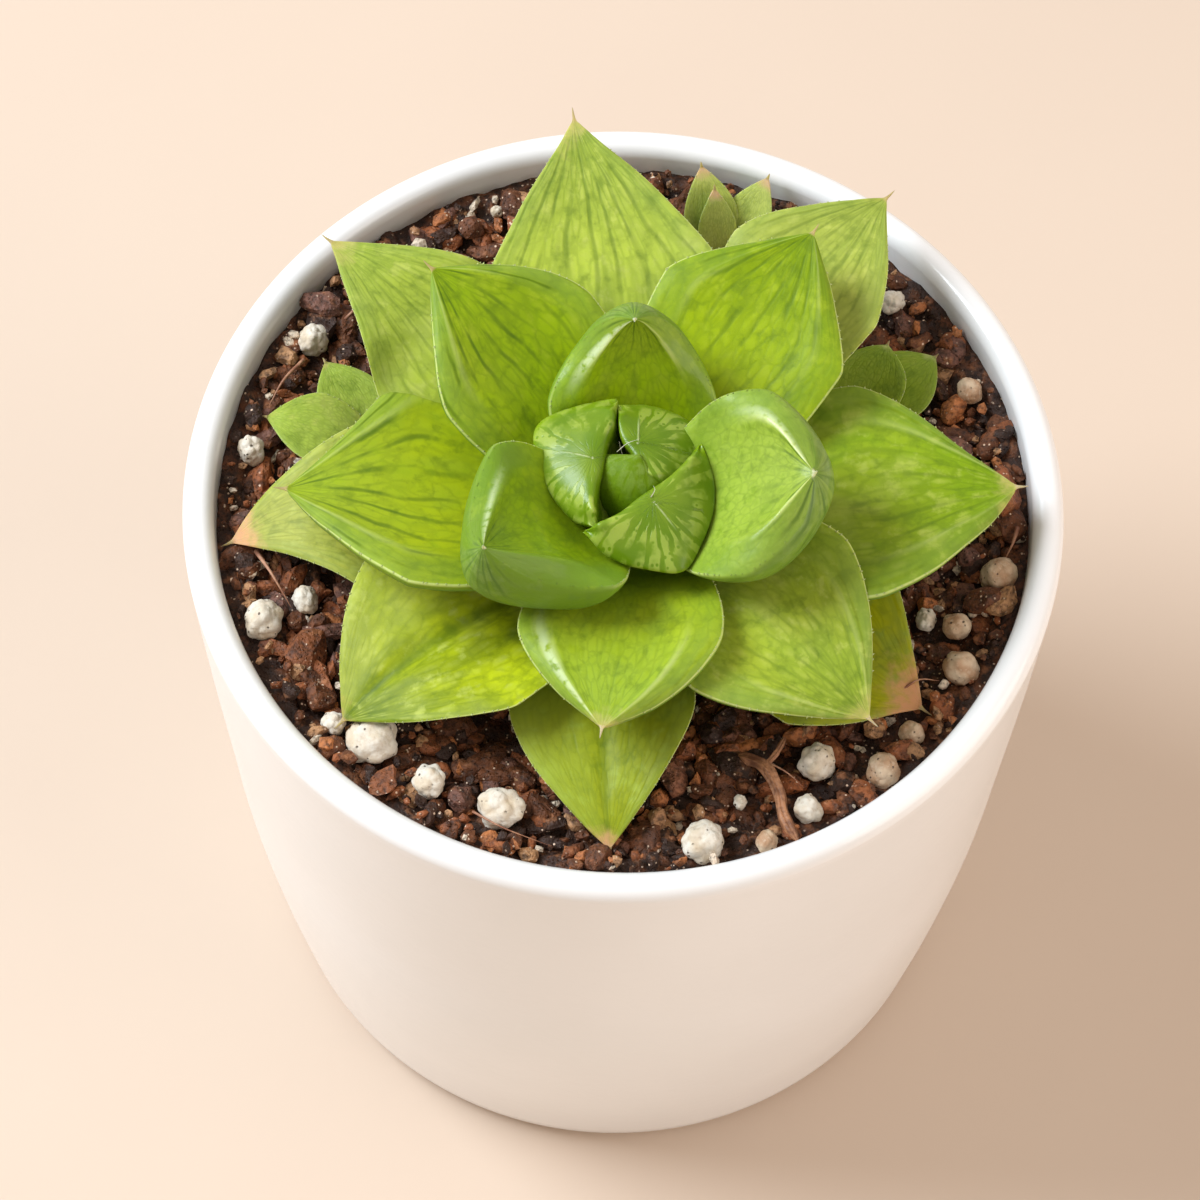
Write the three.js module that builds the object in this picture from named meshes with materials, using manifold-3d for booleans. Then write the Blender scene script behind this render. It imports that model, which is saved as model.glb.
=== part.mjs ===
// A rosette succulent with windowed leaves, in a round glazed pot of gritty soil.
// Units are millimetres, +Z is up, and the origin is the centre of the pot's base.

import * as THREE from 'three';
import { mergeVertices } from 'three/addons/utils/BufferGeometryUtils.js';
import Module from 'manifold-3d';

const wasm = await Module();
wasm.setup();

// ---------------------------------------------------------------- driving dimensions

const gap = 0.3; // clearance between touching pieces

// Pot: outer radius at heights above the base, from the foot to the middle of the lip.
const potOuter = [
  { height: 3, radius: 41.7 },
  { height: 17.5, radius: 44 },
  { height: 35, radius: 46.2 },
  { height: 53, radius: 47.6 },
  { height: 70.5, radius: 48.9 },
  { height: 88.2, radius: 50 },
];
const lipRadius = 1.8; // the lip is a half round
const wall = 2 * lipRadius;
const lipHeight = 88.2; // height of the lip's centre line
const floorTop = 7;
const footOuterRadius = 39;
const footInnerRadius = 33;
const footRecess = 2;
const drainRadius = 4.5;
const potSegments = 48;

// Soil and stem.
const soilTop = 84.4; // between the leaves; the soil is banked up from there to the wall
const soilBank = { height: 1.8, from: 26, to: 45.8 };
const soilSegments = 40;
const soilWave = 0.45; // unevenness of the soil's surface
const crown = { x: 1, y: -5 }; // where the stem leaves the soil
const stemRadius = 2.7;
const stemBottom = 62;
const stemTop = 98.5;

// Leaf sections.
const ringsPerLeaf = 9;
const pointsPerRing = 10;
const lastRing = 0.965; // the last ring's place along the leaf, before the point
const lowestRing = 0.5; // share of the full thickness at the leaf's base
const mucroLength = 1.2; // the fine point at a leaf's tip
const crownRise = 0.3; // doming of a leaf's upper face

// The leaves, tier by tier from the heart outward, and in each tier the topmost first. On
// each leaf: turn is the compass angle that it grows towards, rise its slope at the base and
// at the tip, sweep its sideways bend and roll its twist, all in degrees; bow says how late
// its slope changes, widest is the place of the widest point along it, taper how full it is
// between there and the tip, and bulge how far the back swells past the margins. Seat is the
// height of its base above the pot's lip.
const innermost = {
  name: 'innermost_leaf', colour: '#3f7d24', thickness: 1.6, cup: 0.4, keel: 1.7, bulge: 0.05,
  baseWidth: 0.7, widest: 0.55, taper: 2.2, bow: 1.5, start: 0.8,
  leaves: [
    { turn: 250, seat: 9.5, length: 8, width: 6.5, rise: [62, 130] },
    { turn: 95, seat: 9.5, length: 6.5, width: 5, rise: [70, 100] },
  ],
};
const tiers = [
  {
    name: 'upper_leaf', colour: '#6fae2e', thickness: 7, keel: 1.7, bulge: 0.12,
    baseWidth: 0.45, start: 3,
    leaves: [
      {
        turn: 93.5, seat: 5, length: 25.5, width: 18.5, rise: [41.5, 145], bow: 3.15,
        roll: 6, sweep: -6.5, widest: 0.45, taper: 1.7, cup: 0.26, thickness: 4.3,
      },
      {
        turn: -8.5, seat: 9, length: 23.5, width: 21.5, rise: [38, 63], bow: 4,
        roll: 16, sweep: -9, widest: 0.62, taper: 2.2, cup: 0.5,
      },
      {
        turn: 215, seat: 9, length: 24.5, width: 21, rise: [32.5, 70.5], bow: 3.9,
        roll: -7, sweep: 19, widest: 0.49, taper: 1.2, cup: 0.5,
      },
    ],
  },
  {
    name: 'middle_leaf', colour: '#8cbd2c', thickness: 4.5, keel: 1.7, bulge: 0.07,
    baseWidth: 0.35, start: 3,
    leaves: [
      {
        turn: 269, seat: 0.5, length: 31, width: 22.5, rise: [55, -10.5], bow: 1.05,
        roll: 5.5, sweep: -7.5, widest: 0.59, taper: 1.7, cup: 0.15,
      },
      {
        turn: 121.5, seat: 0.5, length: 36, width: 23, rise: [37, 16], bow: 1.35,
        roll: 4.5, sweep: 25, widest: 0.61, taper: 1.6, cup: 0.14,
      },
      {
        turn: 60, seat: 0.5, length: 38, width: 23.5, rise: [46, 14.5], bow: 0.6,
        roll: 3, sweep: -4.5, widest: 0.68, taper: 1.3, cup: 0.13,
      },
      {
        turn: 178.5, seat: -1, length: 38.5, width: 32, rise: [43.5, -12.5], bow: 0.9,
        roll: 15.5, widest: 0.62, taper: 1.15, cup: 0.2,
      },
      {
        turn: 316, seat: -0.5, length: 37, width: 24.5, rise: [51, -27], bow: 1,
        roll: 6, sweep: 3, widest: 0.58, taper: 1.45, cup: 0.27,
      },
      {
        turn: 3, seat: -2.5, length: 44, width: 29.5, rise: [48, -19.5], bow: 0.9,
        roll: -9, sweep: 7.5, widest: 0.6, taper: 1.4, cup: 0.15,
      },
    ],
  },
  {
    name: 'lower_leaf', colour: '#9ac43a', thickness: 3.2, keel: 1.7, bulge: 0.03,
    baseWidth: 0.35, start: 3,
    leaves: [
      {
        turn: 96.5, seat: -4, length: 50.5, width: 28, rise: [34, 5.5], bow: 0.6,
        roll: -1, sweep: 6, widest: 0.59, taper: 1.15, cup: 0.09,
      },
      {
        turn: 212.5, seat: -4, length: 39, width: 27, rise: [35, -33], bow: 1.35,
        roll: 6, sweep: 10, widest: 0.6, taper: 1.45, cup: 0.14,
      },
      {
        turn: 62, seat: -4, length: 50.5, width: 20.5, rise: [40, -7.5], bow: 0.95,
        sweep: -13, widest: 0.7, taper: 1.3, cup: 0.11,
      },
      {
        turn: 131, seat: -5, length: 49.5, width: 24, rise: [42, -8.5], bow: 0.95,
        roll: 5.5, sweep: 11.5, widest: 0.61, taper: 1.15, cup: 0.14,
      },
      {
        turn: 259, seat: -4.5, length: 37, width: 21, rise: [29.5, -32.5], bow: 1.5,
        roll: 10, sweep: 19.5, widest: 0.57, taper: 1.45, cup: 0.14,
      },
      {
        turn: 171, seat: -5.5, length: 46, width: 23.5, rise: [31.5, -38.5], bow: 1.75,
        roll: -7, sweep: 22, widest: 0.56, taper: 1.15, cup: 0.09,
      },
      {
        turn: 332.5, seat: -5, length: 36, width: 22.5, rise: [22.5, -15.5], bow: 1.15,
        sweep: -5, widest: 0.68, taper: 1.25, cup: 0.11,
      },
    ],
  },
];

// The three leaves of the closed heart are hoods: from the stem a wall rises to a shoulder,
// and from there the windowed top slopes in to the edge of the heart's opening. Each has
// [x, y] points of its shoulder and of its edge, paired from one margin to the other and
// counterclockwise as seen from above.
const hoodBase = { inner: 1.3, outer: 2.4, swell: 0.8 };
const marginOverhang = 0.2; // how far a hood's margin stands past its last outline
const hood = { colour: '#5f9e35', base: 9, shoulder: 14.5, edge: 17.5, ends: 16, dome: 0.9 };
const heartLeaves = [
  {
    shoulder: [[-1, 4.2], [-5, 4.3], [-9.7, 1.8], [-10, -2.5], [-8.4, -6.8], [-6, -10], [-3.2, -12]],
    edge: [[-0.8, 3.8], [-1.3, 0.6], [-2.2, -1.5], [-2.7, -5], [-3.1, -7.5], [-3.2, -10], [-2.8, -11.6]],
  },
  {
    shoulder: [[5.3, -7.4], [7.6, -4], [8.5, -1], [8, 1.6], [5.6, 3.6], [1.9, 4.6], [-1, 3.4]],
    edge: [[5, -7], [2.5, -6], [1.5, -4.3], [0.7, -3], [-0.2, -1.7], [-0.8, 0], [-1, 3]],
  },
  {
    shoulder: [
      [-4.3, -12.7], [-1.7, -14.6], [1.5, -16], [6.7, -16.4], [8.9, -12.5], [10, -8], [10.1, -4],
      [8.8, -0.2],
    ],
    edge: [
      [-4, -12.3], [-2.3, -12], [-0.2, -10.7], [1.7, -8.9], [3.6, -7.3], [5.2, -5.8], [6.8, -3.8],
      [8.4, -0.4],
    ],
  },
];

// Young offsets that come up through the soil round the rosette: the place of each one's
// centre, and its leaves.
const offsets = [
  {
    name: 'back_offset_leaf', x: 10.5, y: 34.5,
    leaves: [
      { turn: 106, length: 13.5, width: 6.5, rise: [62, 40] },
      { turn: 100, length: 11.5, width: 4.5, rise: [72, 55] },
      { turn: 58, length: 13, width: 6, rise: [58, 40] },
    ],
  },
  {
    name: 'right_offset_leaf', x: 25.5, y: 12.7, seat: -5.6,
    leaves: [
      { turn: 58, length: 11, width: 8.5, rise: [45, 10] },
      { turn: 30, length: 12.8, width: 8.5, rise: [35, 0] },
    ],
  },
  {
    name: 'left_offset_leaf', x: -28, y: 7.2, seat: -5.6,
    leaves: [
      { turn: 172, length: 13, width: 7, rise: [38, -5] },
      { turn: 126, length: 11.5, width: 7.5, rise: [45, 5] },
    ],
  },
];
const offsetForm = {
  colour: '#a3c25c', seat: -7, thickness: 2.2, cup: 0.2, keel: 1.7, bulge: 0.05, widest: 0.55,
  taper: 1.7, baseWidth: 0.6, bow: 1, start: 1.2,
};

// Perlite and pumice grains on the soil: x, y, breadth and height, then the colour.
const white = '#e9e4dc';
const tan = '#b99f82';
const grains = [
  [-40, -15.5, 4.8, 4.4, white], [-35.5, -12.5, 3.4, 3.2, white], [-31.5, -28.2, 2.8, 2.8, white],
  [-27, -30, 6.2, 4.8, white], [-20.5, -35, 4, 3.6, white], [-12.5, -38, 5.3, 4.8, white],
  [10, -41.4, 5.1, 4.5, white], [14, -36, 1.7, 1.7, white], [21.5, -37, 3.3, 4, white],
  [22.5, -31, 4.4, 5, white], [29.8, -31.8, 4.2, 4, tan], [38.4, -18.7, 4.3, 4, tan],
  [42.8, -6.7, 4.4, 4.2, tan], [34.5, -12.3, 2.6, 2.6, white], [33, -27.1, 3, 3, tan],
  [30.5, 29, 3, 3.4, white], [-36.5, 21.4, 3.8, 4.2, white], [-42.7, 6.4, 3.4, 4, white],
  [-16, 39.8, 1.6, 1.6, white], [17, -41, 2.8, 2.4, tan], [39.5, 17.4, 3.2, 3, tan],
  [38, -13.3, 3.4, 3.2, tan],
];
const grainSink = 0.4; // share of a grain's height that is sunk in the soil

// A twig of bark that lies on the soil.
const twigRadius = 0.8;
const twigRoute = [
  [14.5, -30.5, 0.6], [17, -32.2, 1], [18.2, -36, 0.8], [20, -40.6, 0.5],
];

// ---------------------------------------------------------------- solids and meshes

const model = new THREE.Group();

function toSolid(geometry) {
  const bare = geometry.clone();
  bare.deleteAttribute('normal');
  bare.deleteAttribute('uv');
  const merged = mergeVertices(bare, 1e-4);
  return new wasm.Manifold(new wasm.Mesh({
    numProp: 3,
    vertProperties: new Float32Array(merged.attributes.position.array),
    triVerts: new Uint32Array(merged.index.array),
  }));
}

function toGeometry(solid) {
  const mesh = solid.getMesh();
  const geometry = new THREE.BufferGeometry();
  geometry.setAttribute('position', new THREE.BufferAttribute(mesh.vertProperties, 3));
  geometry.setIndex(new THREE.BufferAttribute(mesh.triVerts, 1));
  geometry.computeVertexNormals();
  return geometry;
}

function addPiece(name, solid, colour, roughness) {
  const material = new THREE.MeshStandardMaterial({ color: colour, roughness, metalness: 0 });
  const mesh = new THREE.Mesh(toGeometry(solid), material);
  mesh.name = name;
  model.add(mesh);
}

function largestBody(solid) {
  return solid.decompose().reduce((a, b) => (a.volume() > b.volume() ? a : b));
}

function boxesMeet(a, b) {
  const p = a.boundingBox();
  const q = b.boundingBox();
  return [0, 1, 2].every((k) => p.min[k] < q.max[k] && q.min[k] < p.max[k]);
}

// Cuts away every neighbour that the piece's own box meets, and keeps the main body.
function cutBack(solid, neighbours) {
  let left = solid;
  for (const other of neighbours) {
    if (boxesMeet(left, other)) {
      left = left.subtract(other);
    }
  }
  return largestBody(left);
}

// A turned solid: the profile is [radius, height] points, from the bottom up its outside.
function turned(profile, segments) {
  const points = profile.map(([radius, height]) => new THREE.Vector2(radius, height));
  return new THREE.LatheGeometry(points, segments).rotateX(Math.PI / 2);
}

// ---------------------------------------------------------------- pot

const innerRadiusAt = (height) => {
  const above = potOuter.findIndex((p) => p.height >= height);
  const high = potOuter[Math.max(above, 1)];
  const low = potOuter[Math.max(above, 1) - 1];
  const share = (height - low.height) / (high.height - low.height);
  return THREE.MathUtils.lerp(low.radius, high.radius, share) - wall;
};

function potProfile() {
  const profile = [
    [footInnerRadius, 0], [footOuterRadius, 0], [footOuterRadius + 1.7, 0.9],
  ];
  potOuter.forEach(({ height, radius }) => profile.push([radius, height]));
  const lipSteps = 4;
  const lipCentre = potOuter.at(-1).radius - lipRadius;
  for (let i = 1; i <= lipSteps; i += 1) {
    const angle = (Math.PI * i) / lipSteps;
    profile.push([
      lipCentre + lipRadius * Math.cos(angle),
      lipHeight + lipRadius * Math.sin(angle),
    ]);
  }
  for (const height of [70.5, 53, 35, 17.5, floorTop + 3]) {
    profile.push([innerRadiusAt(height), height]);
  }
  profile.push([innerRadiusAt(floorTop) - 3, floorTop]);
  profile.push([drainRadius, floorTop]);
  profile.push([drainRadius, footRecess]);
  profile.push([footInnerRadius, footRecess]);
  profile.push([footInnerRadius, 0]);
  return profile;
}

function buildPot() {
  addPiece('pot', toSolid(turned(potProfile(), potSegments)), '#f4f1ec', 0.25);
}

// ---------------------------------------------------------------- leaves

const degrees = THREE.MathUtils.degToRad;

// Half the leaf's width at a place from 0 at the base to 1 at the tip.
function halfWidth(leaf, place) {
  const rising = Math.sin((Math.PI / 2) * Math.min(place / leaf.widest, 1));
  const past = Math.max((place - leaf.widest) / (1 - leaf.widest), 0);
  const share = place < leaf.widest
    ? leaf.baseWidth + (1 - leaf.baseWidth) * rising
    : 1 - past ** leaf.taper;
  return (leaf.width / 2) * share;
}

function leafThickness(leaf, place) {
  const rising = Math.sin((Math.PI / 2) * Math.min(place / 0.5, 1));
  const filled = lowestRing + (1 - lowestRing) * rising;
  return leaf.thickness * filled * Math.sqrt(1 - place ** 3);
}

// The direction of the leaf's middle line at a place along it.
function heading(leaf, place) {
  const rise = degrees(leaf.rise[0] + (leaf.rise[1] - leaf.rise[0]) * place ** leaf.bow);
  const turn = degrees(leaf.turn + leaf.sweep * place);
  return { rise, turn };
}

function tangentAt(leaf, place) {
  const { rise, turn } = heading(leaf, place);
  return new THREE.Vector3(
    Math.cos(rise) * Math.cos(turn),
    Math.cos(rise) * Math.sin(turn),
    Math.sin(rise),
  );
}

// One cross-section: a domed and cupped upper face over a keeled back.
function leafSection(leaf, place, centre, grow) {
  const tangent = tangentAt(leaf, place);
  const { turn } = heading(leaf, place);
  const level = new THREE.Vector3(-Math.sin(turn), Math.cos(turn), 0);
  const side = level.clone().applyAxisAngle(tangent, degrees(leaf.roll));
  const up = new THREE.Vector3().crossVectors(tangent, side);
  const half = halfWidth(leaf, place);
  const back = leafThickness(leaf, place);
  const dome = crownRise * Math.min(1, (4 * half) / leaf.width);
  const ring = [];
  for (let k = 0; k < pointsPerRing; k += 1) {
    const angle = (2 * Math.PI * k) / pointsPerRing;
    const across = Math.cos(angle);
    const lateral = across * (half + grow);
    const cupped = (leaf.cup * lateral ** 2) / half;
    const facing = Math.round(Math.sin(angle) * 10) / 10; // 0 at the margins
    const outward = Math.sign(facing);
    const skin = facing < 0
      ? -back * Math.max(1 - Math.abs(across) ** leaf.keel, 0) ** 0.7
      : dome * (1 - across ** 2);
    const swell = facing < 0 ? -leaf.bulge * half * Math.sin(2 * angle) : 0;
    ring.push(centre.clone()
      .addScaledVector(side, lateral + swell)
      .addScaledVector(up, cupped + skin + outward * grow));
  }
  return ring;
}

// A closed leaf, grown on all sides by a clearance where it is used as a cutter.
function leafSolid(leaf, grow = 0) {
  const vertices = [];
  const push = (point) => vertices.push(point.x, point.y, point.z) / 3 - 1;
  const start = degrees(leaf.turn);
  const centre = new THREE.Vector3(
    leaf.x + leaf.start * Math.cos(start),
    leaf.y + leaf.start * Math.sin(start),
    lipHeight + leaf.seat,
  );
  const steps = 4; // the middle line is summed in steps finer than the rings
  const stride = lastRing / (ringsPerLeaf - 1);
  const base = push(centre.clone().addScaledVector(tangentAt(leaf, 0), -grow));
  const rings = [];
  for (let i = 0; i < ringsPerLeaf; i += 1) {
    rings.push(leafSection(leaf, i * stride, centre, grow).map(push));
    for (let j = 0; j < steps && i < ringsPerLeaf - 1; j += 1) {
      const middle = (i + (j + 0.5) / steps) * stride;
      centre.addScaledVector(tangentAt(leaf, middle), (leaf.length * stride) / steps);
    }
  }
  const toPoint = leaf.length * (1 - lastRing) + mucroLength + grow;
  const tip = push(centre.clone().addScaledVector(tangentAt(leaf, 1), toPoint));

  return skinned(rings, base, tip, vertices);
}

// A closed solid from a chain of rings of vertex numbers, between two end vertices.
function skinned(rings, first, last, vertices) {
  const faces = [];
  const count = rings[0].length;
  for (let k = 0; k < count; k += 1) {
    const next = (k + 1) % count;
    faces.push(first, rings[0][next], rings[0][k]);
    for (let i = 0; i + 1 < rings.length; i += 1) {
      faces.push(rings[i][k], rings[i][next], rings[i + 1][next]);
      faces.push(rings[i][k], rings[i + 1][next], rings[i + 1][k]);
    }
    faces.push(rings.at(-1)[k], rings.at(-1)[next], last);
  }
  return new wasm.Manifold(new wasm.Mesh({
    numProp: 3,
    vertProperties: new Float32Array(vertices),
    triVerts: new Uint32Array(faces),
  }));
}

// The closed outline of a heart leaf where it crosses one pair of shoulder and edge points.
function hoodOutline(shoulderPoint, edgePoint, isEnd) {
  const stem = new THREE.Vector3(crown.x, crown.y, lipHeight + hood.base);
  const shoulderRise = isEnd ? hood.ends : hood.shoulder;
  const edgeRise = isEnd ? hood.ends : hood.edge;
  const shoulder = new THREE.Vector3(...shoulderPoint, lipHeight + shoulderRise);
  const edge = new THREE.Vector3(...edgePoint, lipHeight + edgeRise);
  const outward = shoulder.clone().sub(stem).setZ(0).normalize();
  const outerBase = stem.clone().addScaledVector(outward, hoodBase.outer);
  const innerBase = stem.clone().addScaledVector(outward, hoodBase.inner);
  const top = shoulder.clone().lerp(edge, 0.5).add(new THREE.Vector3(0, 0, isEnd ? 0 : hood.dome));
  const wallMiddle = outerBase.clone().lerp(shoulder, 0.6).addScaledVector(outward, hoodBase.swell);
  const innerMiddle = innerBase.clone().lerp(edge, 0.5).addScaledVector(outward, hoodBase.swell);
  return [innerBase, innerMiddle, edge, top, shoulder, wallMiddle, outerBase];
}

// A heart leaf. Where it is used as a cutter, copies of it moved by a clearance to all sides
// are joined to it.
function hoodSolid(leaf, grow = 0) {
  const vertices = [];
  const push = (point) => vertices.push(point.x, point.y, point.z) / 3 - 1;
  const last = leaf.shoulder.length - 1;
  const outlines = leaf.shoulder.map((point, i) => (
    hoodOutline(point, leaf.edge[i], i === 0 || i === last)
  ));
  const endPoint = (outline, neighbour) => {
    const centre = (ring) => ring.reduce((sum, p) => sum.add(p), new THREE.Vector3())
      .divideScalar(ring.length);
    const end = centre(outline);
    return end.addScaledVector(end.clone().sub(centre(neighbour)).normalize(), marginOverhang);
  };
  const rings = outlines.map((outline) => outline.map(push));
  const first = push(endPoint(outlines[0], outlines[1]));
  const final = push(endPoint(outlines[last], outlines[last - 1]));
  const solid = skinned(rings, first, final, vertices);
  const shifts = [[1, 0, 0], [-1, 0, 0], [0, 1, 0], [0, -1, 0], [0, 0, 1], [0, 0, -1]];
  return grow === 0 ? solid : shifts.reduce((sum, shift) => (
    sum.add(solid.translate(shift.map((along) => along * grow)))
  ), solid);
}

// Every leaf by name, from the heart outward, each with the function that makes its solid.
function allLeaves() {
  const still = { roll: 0, sweep: 0 };
  const named = ({ leaves, ...form }, place) => leaves.map((leaf, i) => {
    const whole = { ...still, ...form, ...place, ...leaf };
    return {
      name: `${form.name}_${i + 1}`, colour: form.colour, solid: (grow) => leafSolid(whole, grow),
    };
  });
  const hearts = heartLeaves.map((leaf, i) => (
    { name: `heart_leaf_${i + 1}`, colour: hood.colour, solid: (grow) => hoodSolid(leaf, grow) }
  ));
  return [
    ...hearts,
    ...named(innermost, crown),
    ...tiers.flatMap((tier) => named(tier, crown)),
    ...offsets.flatMap((offset) => named({ ...offsetForm, ...offset }, {})),
  ];
}

// Each leaf is cut back from the stem and from every leaf nearer the heart, whose backs
// press its base flat. The grown leaves are handed on for the soil to clear.
function buildLeaves(grownStem) {
  const cutters = [grownStem];
  for (const leaf of allLeaves()) {
    addPiece(leaf.name, cutBack(leaf.solid(0), cutters), leaf.colour, 0.4);
    cutters.push(leaf.solid(gap));
  }
  return cutters;
}

// ---------------------------------------------------------------- stem

function stemSolid(grow) {
  const height = stemTop - stemBottom + 2 * grow;
  const stem = new THREE.CylinderGeometry(0.6 + grow, stemRadius + grow, height, 10)
    .rotateX(Math.PI / 2)
    .translate(crown.x, crown.y, (stemTop + stemBottom) / 2);
  return toSolid(stem);
}

// ---------------------------------------------------------------- grit and twig

// The mean height of the soil: nearly level between the leaves and banked up to the wall.
function soilHeightAt(x, y) {
  const reach = Math.hypot(x, y);
  return soilTop + soilBank.height * THREE.MathUtils.smoothstep(reach, soilBank.from, soilBank.to);
}

// A lumpy grain: a sphere whose skin is pushed in and out by two slow waves.
function grainSolid([x, y, breadth, height], index, grow) {
  const grain = new THREE.IcosahedronGeometry(1, 1);
  const position = grain.attributes.position;
  const point = new THREE.Vector3();
  for (let i = 0; i < position.count; i += 1) {
    point.fromBufferAttribute(position, i);
    const lump = 1 + 0.09 * Math.sin(3.1 * point.x + 1.7 * index)
      + 0.08 * Math.cos(3.7 * point.y - 2.3 * index + 2 * point.z);
    const scaled = new THREE.Vector3(breadth / 2, (breadth * 0.9) / 2, height / 2)
      .multiplyScalar(0.92).addScalar(grow);
    point.multiplyScalar(lump).multiply(scaled);
    position.setXYZ(i, point.x, point.y, point.z);
  }
  grain.rotateZ(index).translate(x, y, soilHeightAt(x, y) + (0.5 - grainSink) * height);
  return toSolid(grain);
}

function twigSolid(grow) {
  const route = new THREE.CatmullRomCurve3(
    twigRoute.map(([x, y, rise]) => new THREE.Vector3(x, y, soilHeightAt(x, y) + rise)),
  );
  const section = new THREE.Shape().absarc(0, 0, twigRadius + grow, 0, 2 * Math.PI);
  return toSolid(new THREE.ExtrudeGeometry(section, {
    steps: 10, curveSegments: 3, extrudePath: route,
  }));
}

function buildGritAndTwig() {
  const cutters = [twigSolid(gap)];
  addPiece('bark_twig', twigSolid(0), '#6b3f2c', 0.8);
  grains.forEach((grain, i) => {
    const kind = grain[4] === white ? 'perlite' : 'pumice';
    addPiece(`${kind}_grain_${i + 1}`, grainSolid(grain, i, 0), grain[4], 0.9);
    cutters.push(grainSolid(grain, i, gap));
  });
  return cutters;
}

// ---------------------------------------------------------------- soil

function buildSoil(cutters) {
  const rings = 6;
  const profile = [[0, floorTop + gap]];
  profile.push([innerRadiusAt(floorTop) - 3 - gap, floorTop + gap]);
  for (const height of [floorTop + 3, 17.5, 35, 53, 70.5]) {
    profile.push([innerRadiusAt(height) - gap, height + 0.01]);
  }
  const rim = innerRadiusAt(soilTop + soilBank.height) - gap;
  for (let i = rings; i >= 0; i -= 1) {
    profile.push([(rim * i) / rings, soilTop]);
  }
  const body = turned(profile, soilSegments);
  const position = body.attributes.position;
  for (let i = 0; i < position.count; i += 1) {
    if (position.getZ(i) > soilTop - gap) {
      const x = position.getX(i);
      const y = position.getY(i);
      const swell = Math.sin(0.35 * x + 1) * Math.cos(0.3 * y) + 0.6 * Math.sin(0.8 * x - 0.7 * y);
      position.setZ(i, soilHeightAt(x, y) - soilWave + soilWave * swell);
    }
  }
  addPiece('soil', cutBack(toSolid(body), cutters), '#3b2620', 0.95);
}

// ---------------------------------------------------------------- assembly

buildPot();
addPiece('stem', stemSolid(0), '#7f9a3f', 0.6);
const leafCutters = buildLeaves(stemSolid(gap));
const gritCutters = buildGritAndTwig();
buildSoil([...leafCutters, ...gritCutters]);

export default model;
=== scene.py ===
# %% [markdown]
# # A potted haworthia
#
# A small rosette of fleshy, windowed leaves stands in a white glazed pot of gritty soil. The
# solid model of every piece is loaded first. It fixes where each piece lies, and this script
# then makes the finely shaped and coloured piece that is seen in its place.
#
# Sizes are written in millimetres, as on the workbench, and turned into metres where a mesh
# is made.

# %% The frame
import math
import random

import bmesh
import bpy
import numpy as np
from mathutils import Matrix, Vector, noise
from mathutils.bvhtree import BVHTree


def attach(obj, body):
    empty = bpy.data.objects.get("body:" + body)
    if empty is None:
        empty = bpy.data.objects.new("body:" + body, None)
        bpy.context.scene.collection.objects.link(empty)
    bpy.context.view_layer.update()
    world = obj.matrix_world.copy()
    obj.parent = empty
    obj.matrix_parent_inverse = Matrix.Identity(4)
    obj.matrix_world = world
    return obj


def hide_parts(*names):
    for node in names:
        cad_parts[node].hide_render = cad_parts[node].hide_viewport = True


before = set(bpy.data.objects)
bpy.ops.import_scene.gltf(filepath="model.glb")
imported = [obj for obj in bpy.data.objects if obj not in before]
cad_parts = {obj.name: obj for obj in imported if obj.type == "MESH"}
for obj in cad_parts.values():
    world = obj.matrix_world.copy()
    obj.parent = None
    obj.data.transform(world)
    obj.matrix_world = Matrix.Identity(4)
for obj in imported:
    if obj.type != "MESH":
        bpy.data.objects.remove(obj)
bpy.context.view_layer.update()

MM = 0.001

# %% [markdown]
# ## Camera
#
# The picture looks down on the rosette at about 61 degrees from level, with a long lens that
# keeps the pot's rim nearly an ellipse. The camera is placed on that line at a set distance
# from the middle of the lip, and then turned by small angles so that the pot sits in the
# frame as it should. A shifted lens could do that too, but every other view would keep it.

# %% Camera angles
LIP_HEIGHT = 88.2
CAMERA_DISTANCE = 600
CAMERA_ELEVATION = math.radians(60.8)
CAMERA_PITCH = math.radians(-1.05)
CAMERA_YAW = math.radians(-0.22)
CAMERA_ROLL = math.radians(1.87)
LENS = 158.5
SENSOR_WIDTH = 36


def turned(first, second, angle):
    """Two square directions, both turned by an angle from the first towards the second."""
    c, s = math.cos(angle), math.sin(angle)
    return first * c + second * s, second * c - first * s


print("half the field of view:", round(math.degrees(math.atan(SENSOR_WIDTH / 2 / LENS)), 2))

# %% [markdown]
# A camera's matrix holds its right, up and backward directions and its place as columns, so
# the turned directions are written straight into it. Euler angles would need their order
# thought out, and a tracking constraint would allow no roll.

# %% Camera
def aim_camera():
    """Places the camera and turns it to look just below the rosette's heart."""
    out = Vector((0, -math.cos(CAMERA_ELEVATION), math.sin(CAMERA_ELEVATION)))
    ahead = -out
    right = Vector((1, 0, 0))
    up = right.cross(ahead)
    ahead, up = turned(ahead, up, CAMERA_PITCH)
    ahead, right = turned(ahead, right, CAMERA_YAW)
    right, up = turned(right, up, CAMERA_ROLL)
    data = bpy.data.cameras.new("camera")
    data.lens = LENS
    data.sensor_width = SENSOR_WIDTH
    camera = bpy.data.objects.new("camera", data)
    bpy.context.scene.collection.objects.link(camera)
    place = (out * CAMERA_DISTANCE + Vector((0, 0, LIP_HEIGHT))) * MM
    turn = np.eye(4)
    for column, axis in enumerate((right, up, -ahead, place)):
        turn[:3, column] = axis
    camera.matrix_world = Matrix(turn)
    bpy.context.scene.camera = camera
    return camera


print("camera stands at", [round(c, 3) for c in aim_camera().matrix_world.translation])

# %% [markdown]
# ## Shader arithmetic
#
# A leaf's colour is a sum of masks: veins, windows, a pale margin. Wiring those by hand takes
# hundreds of lines, so a socket is wrapped in a small class whose operators add the Math
# nodes. `1 - vein * 0.5` then reads as it would on paper. Colours are mixed, never added,
# because a Math node would turn them grey.

# %% Signals
TURN = 2 * math.pi


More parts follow.
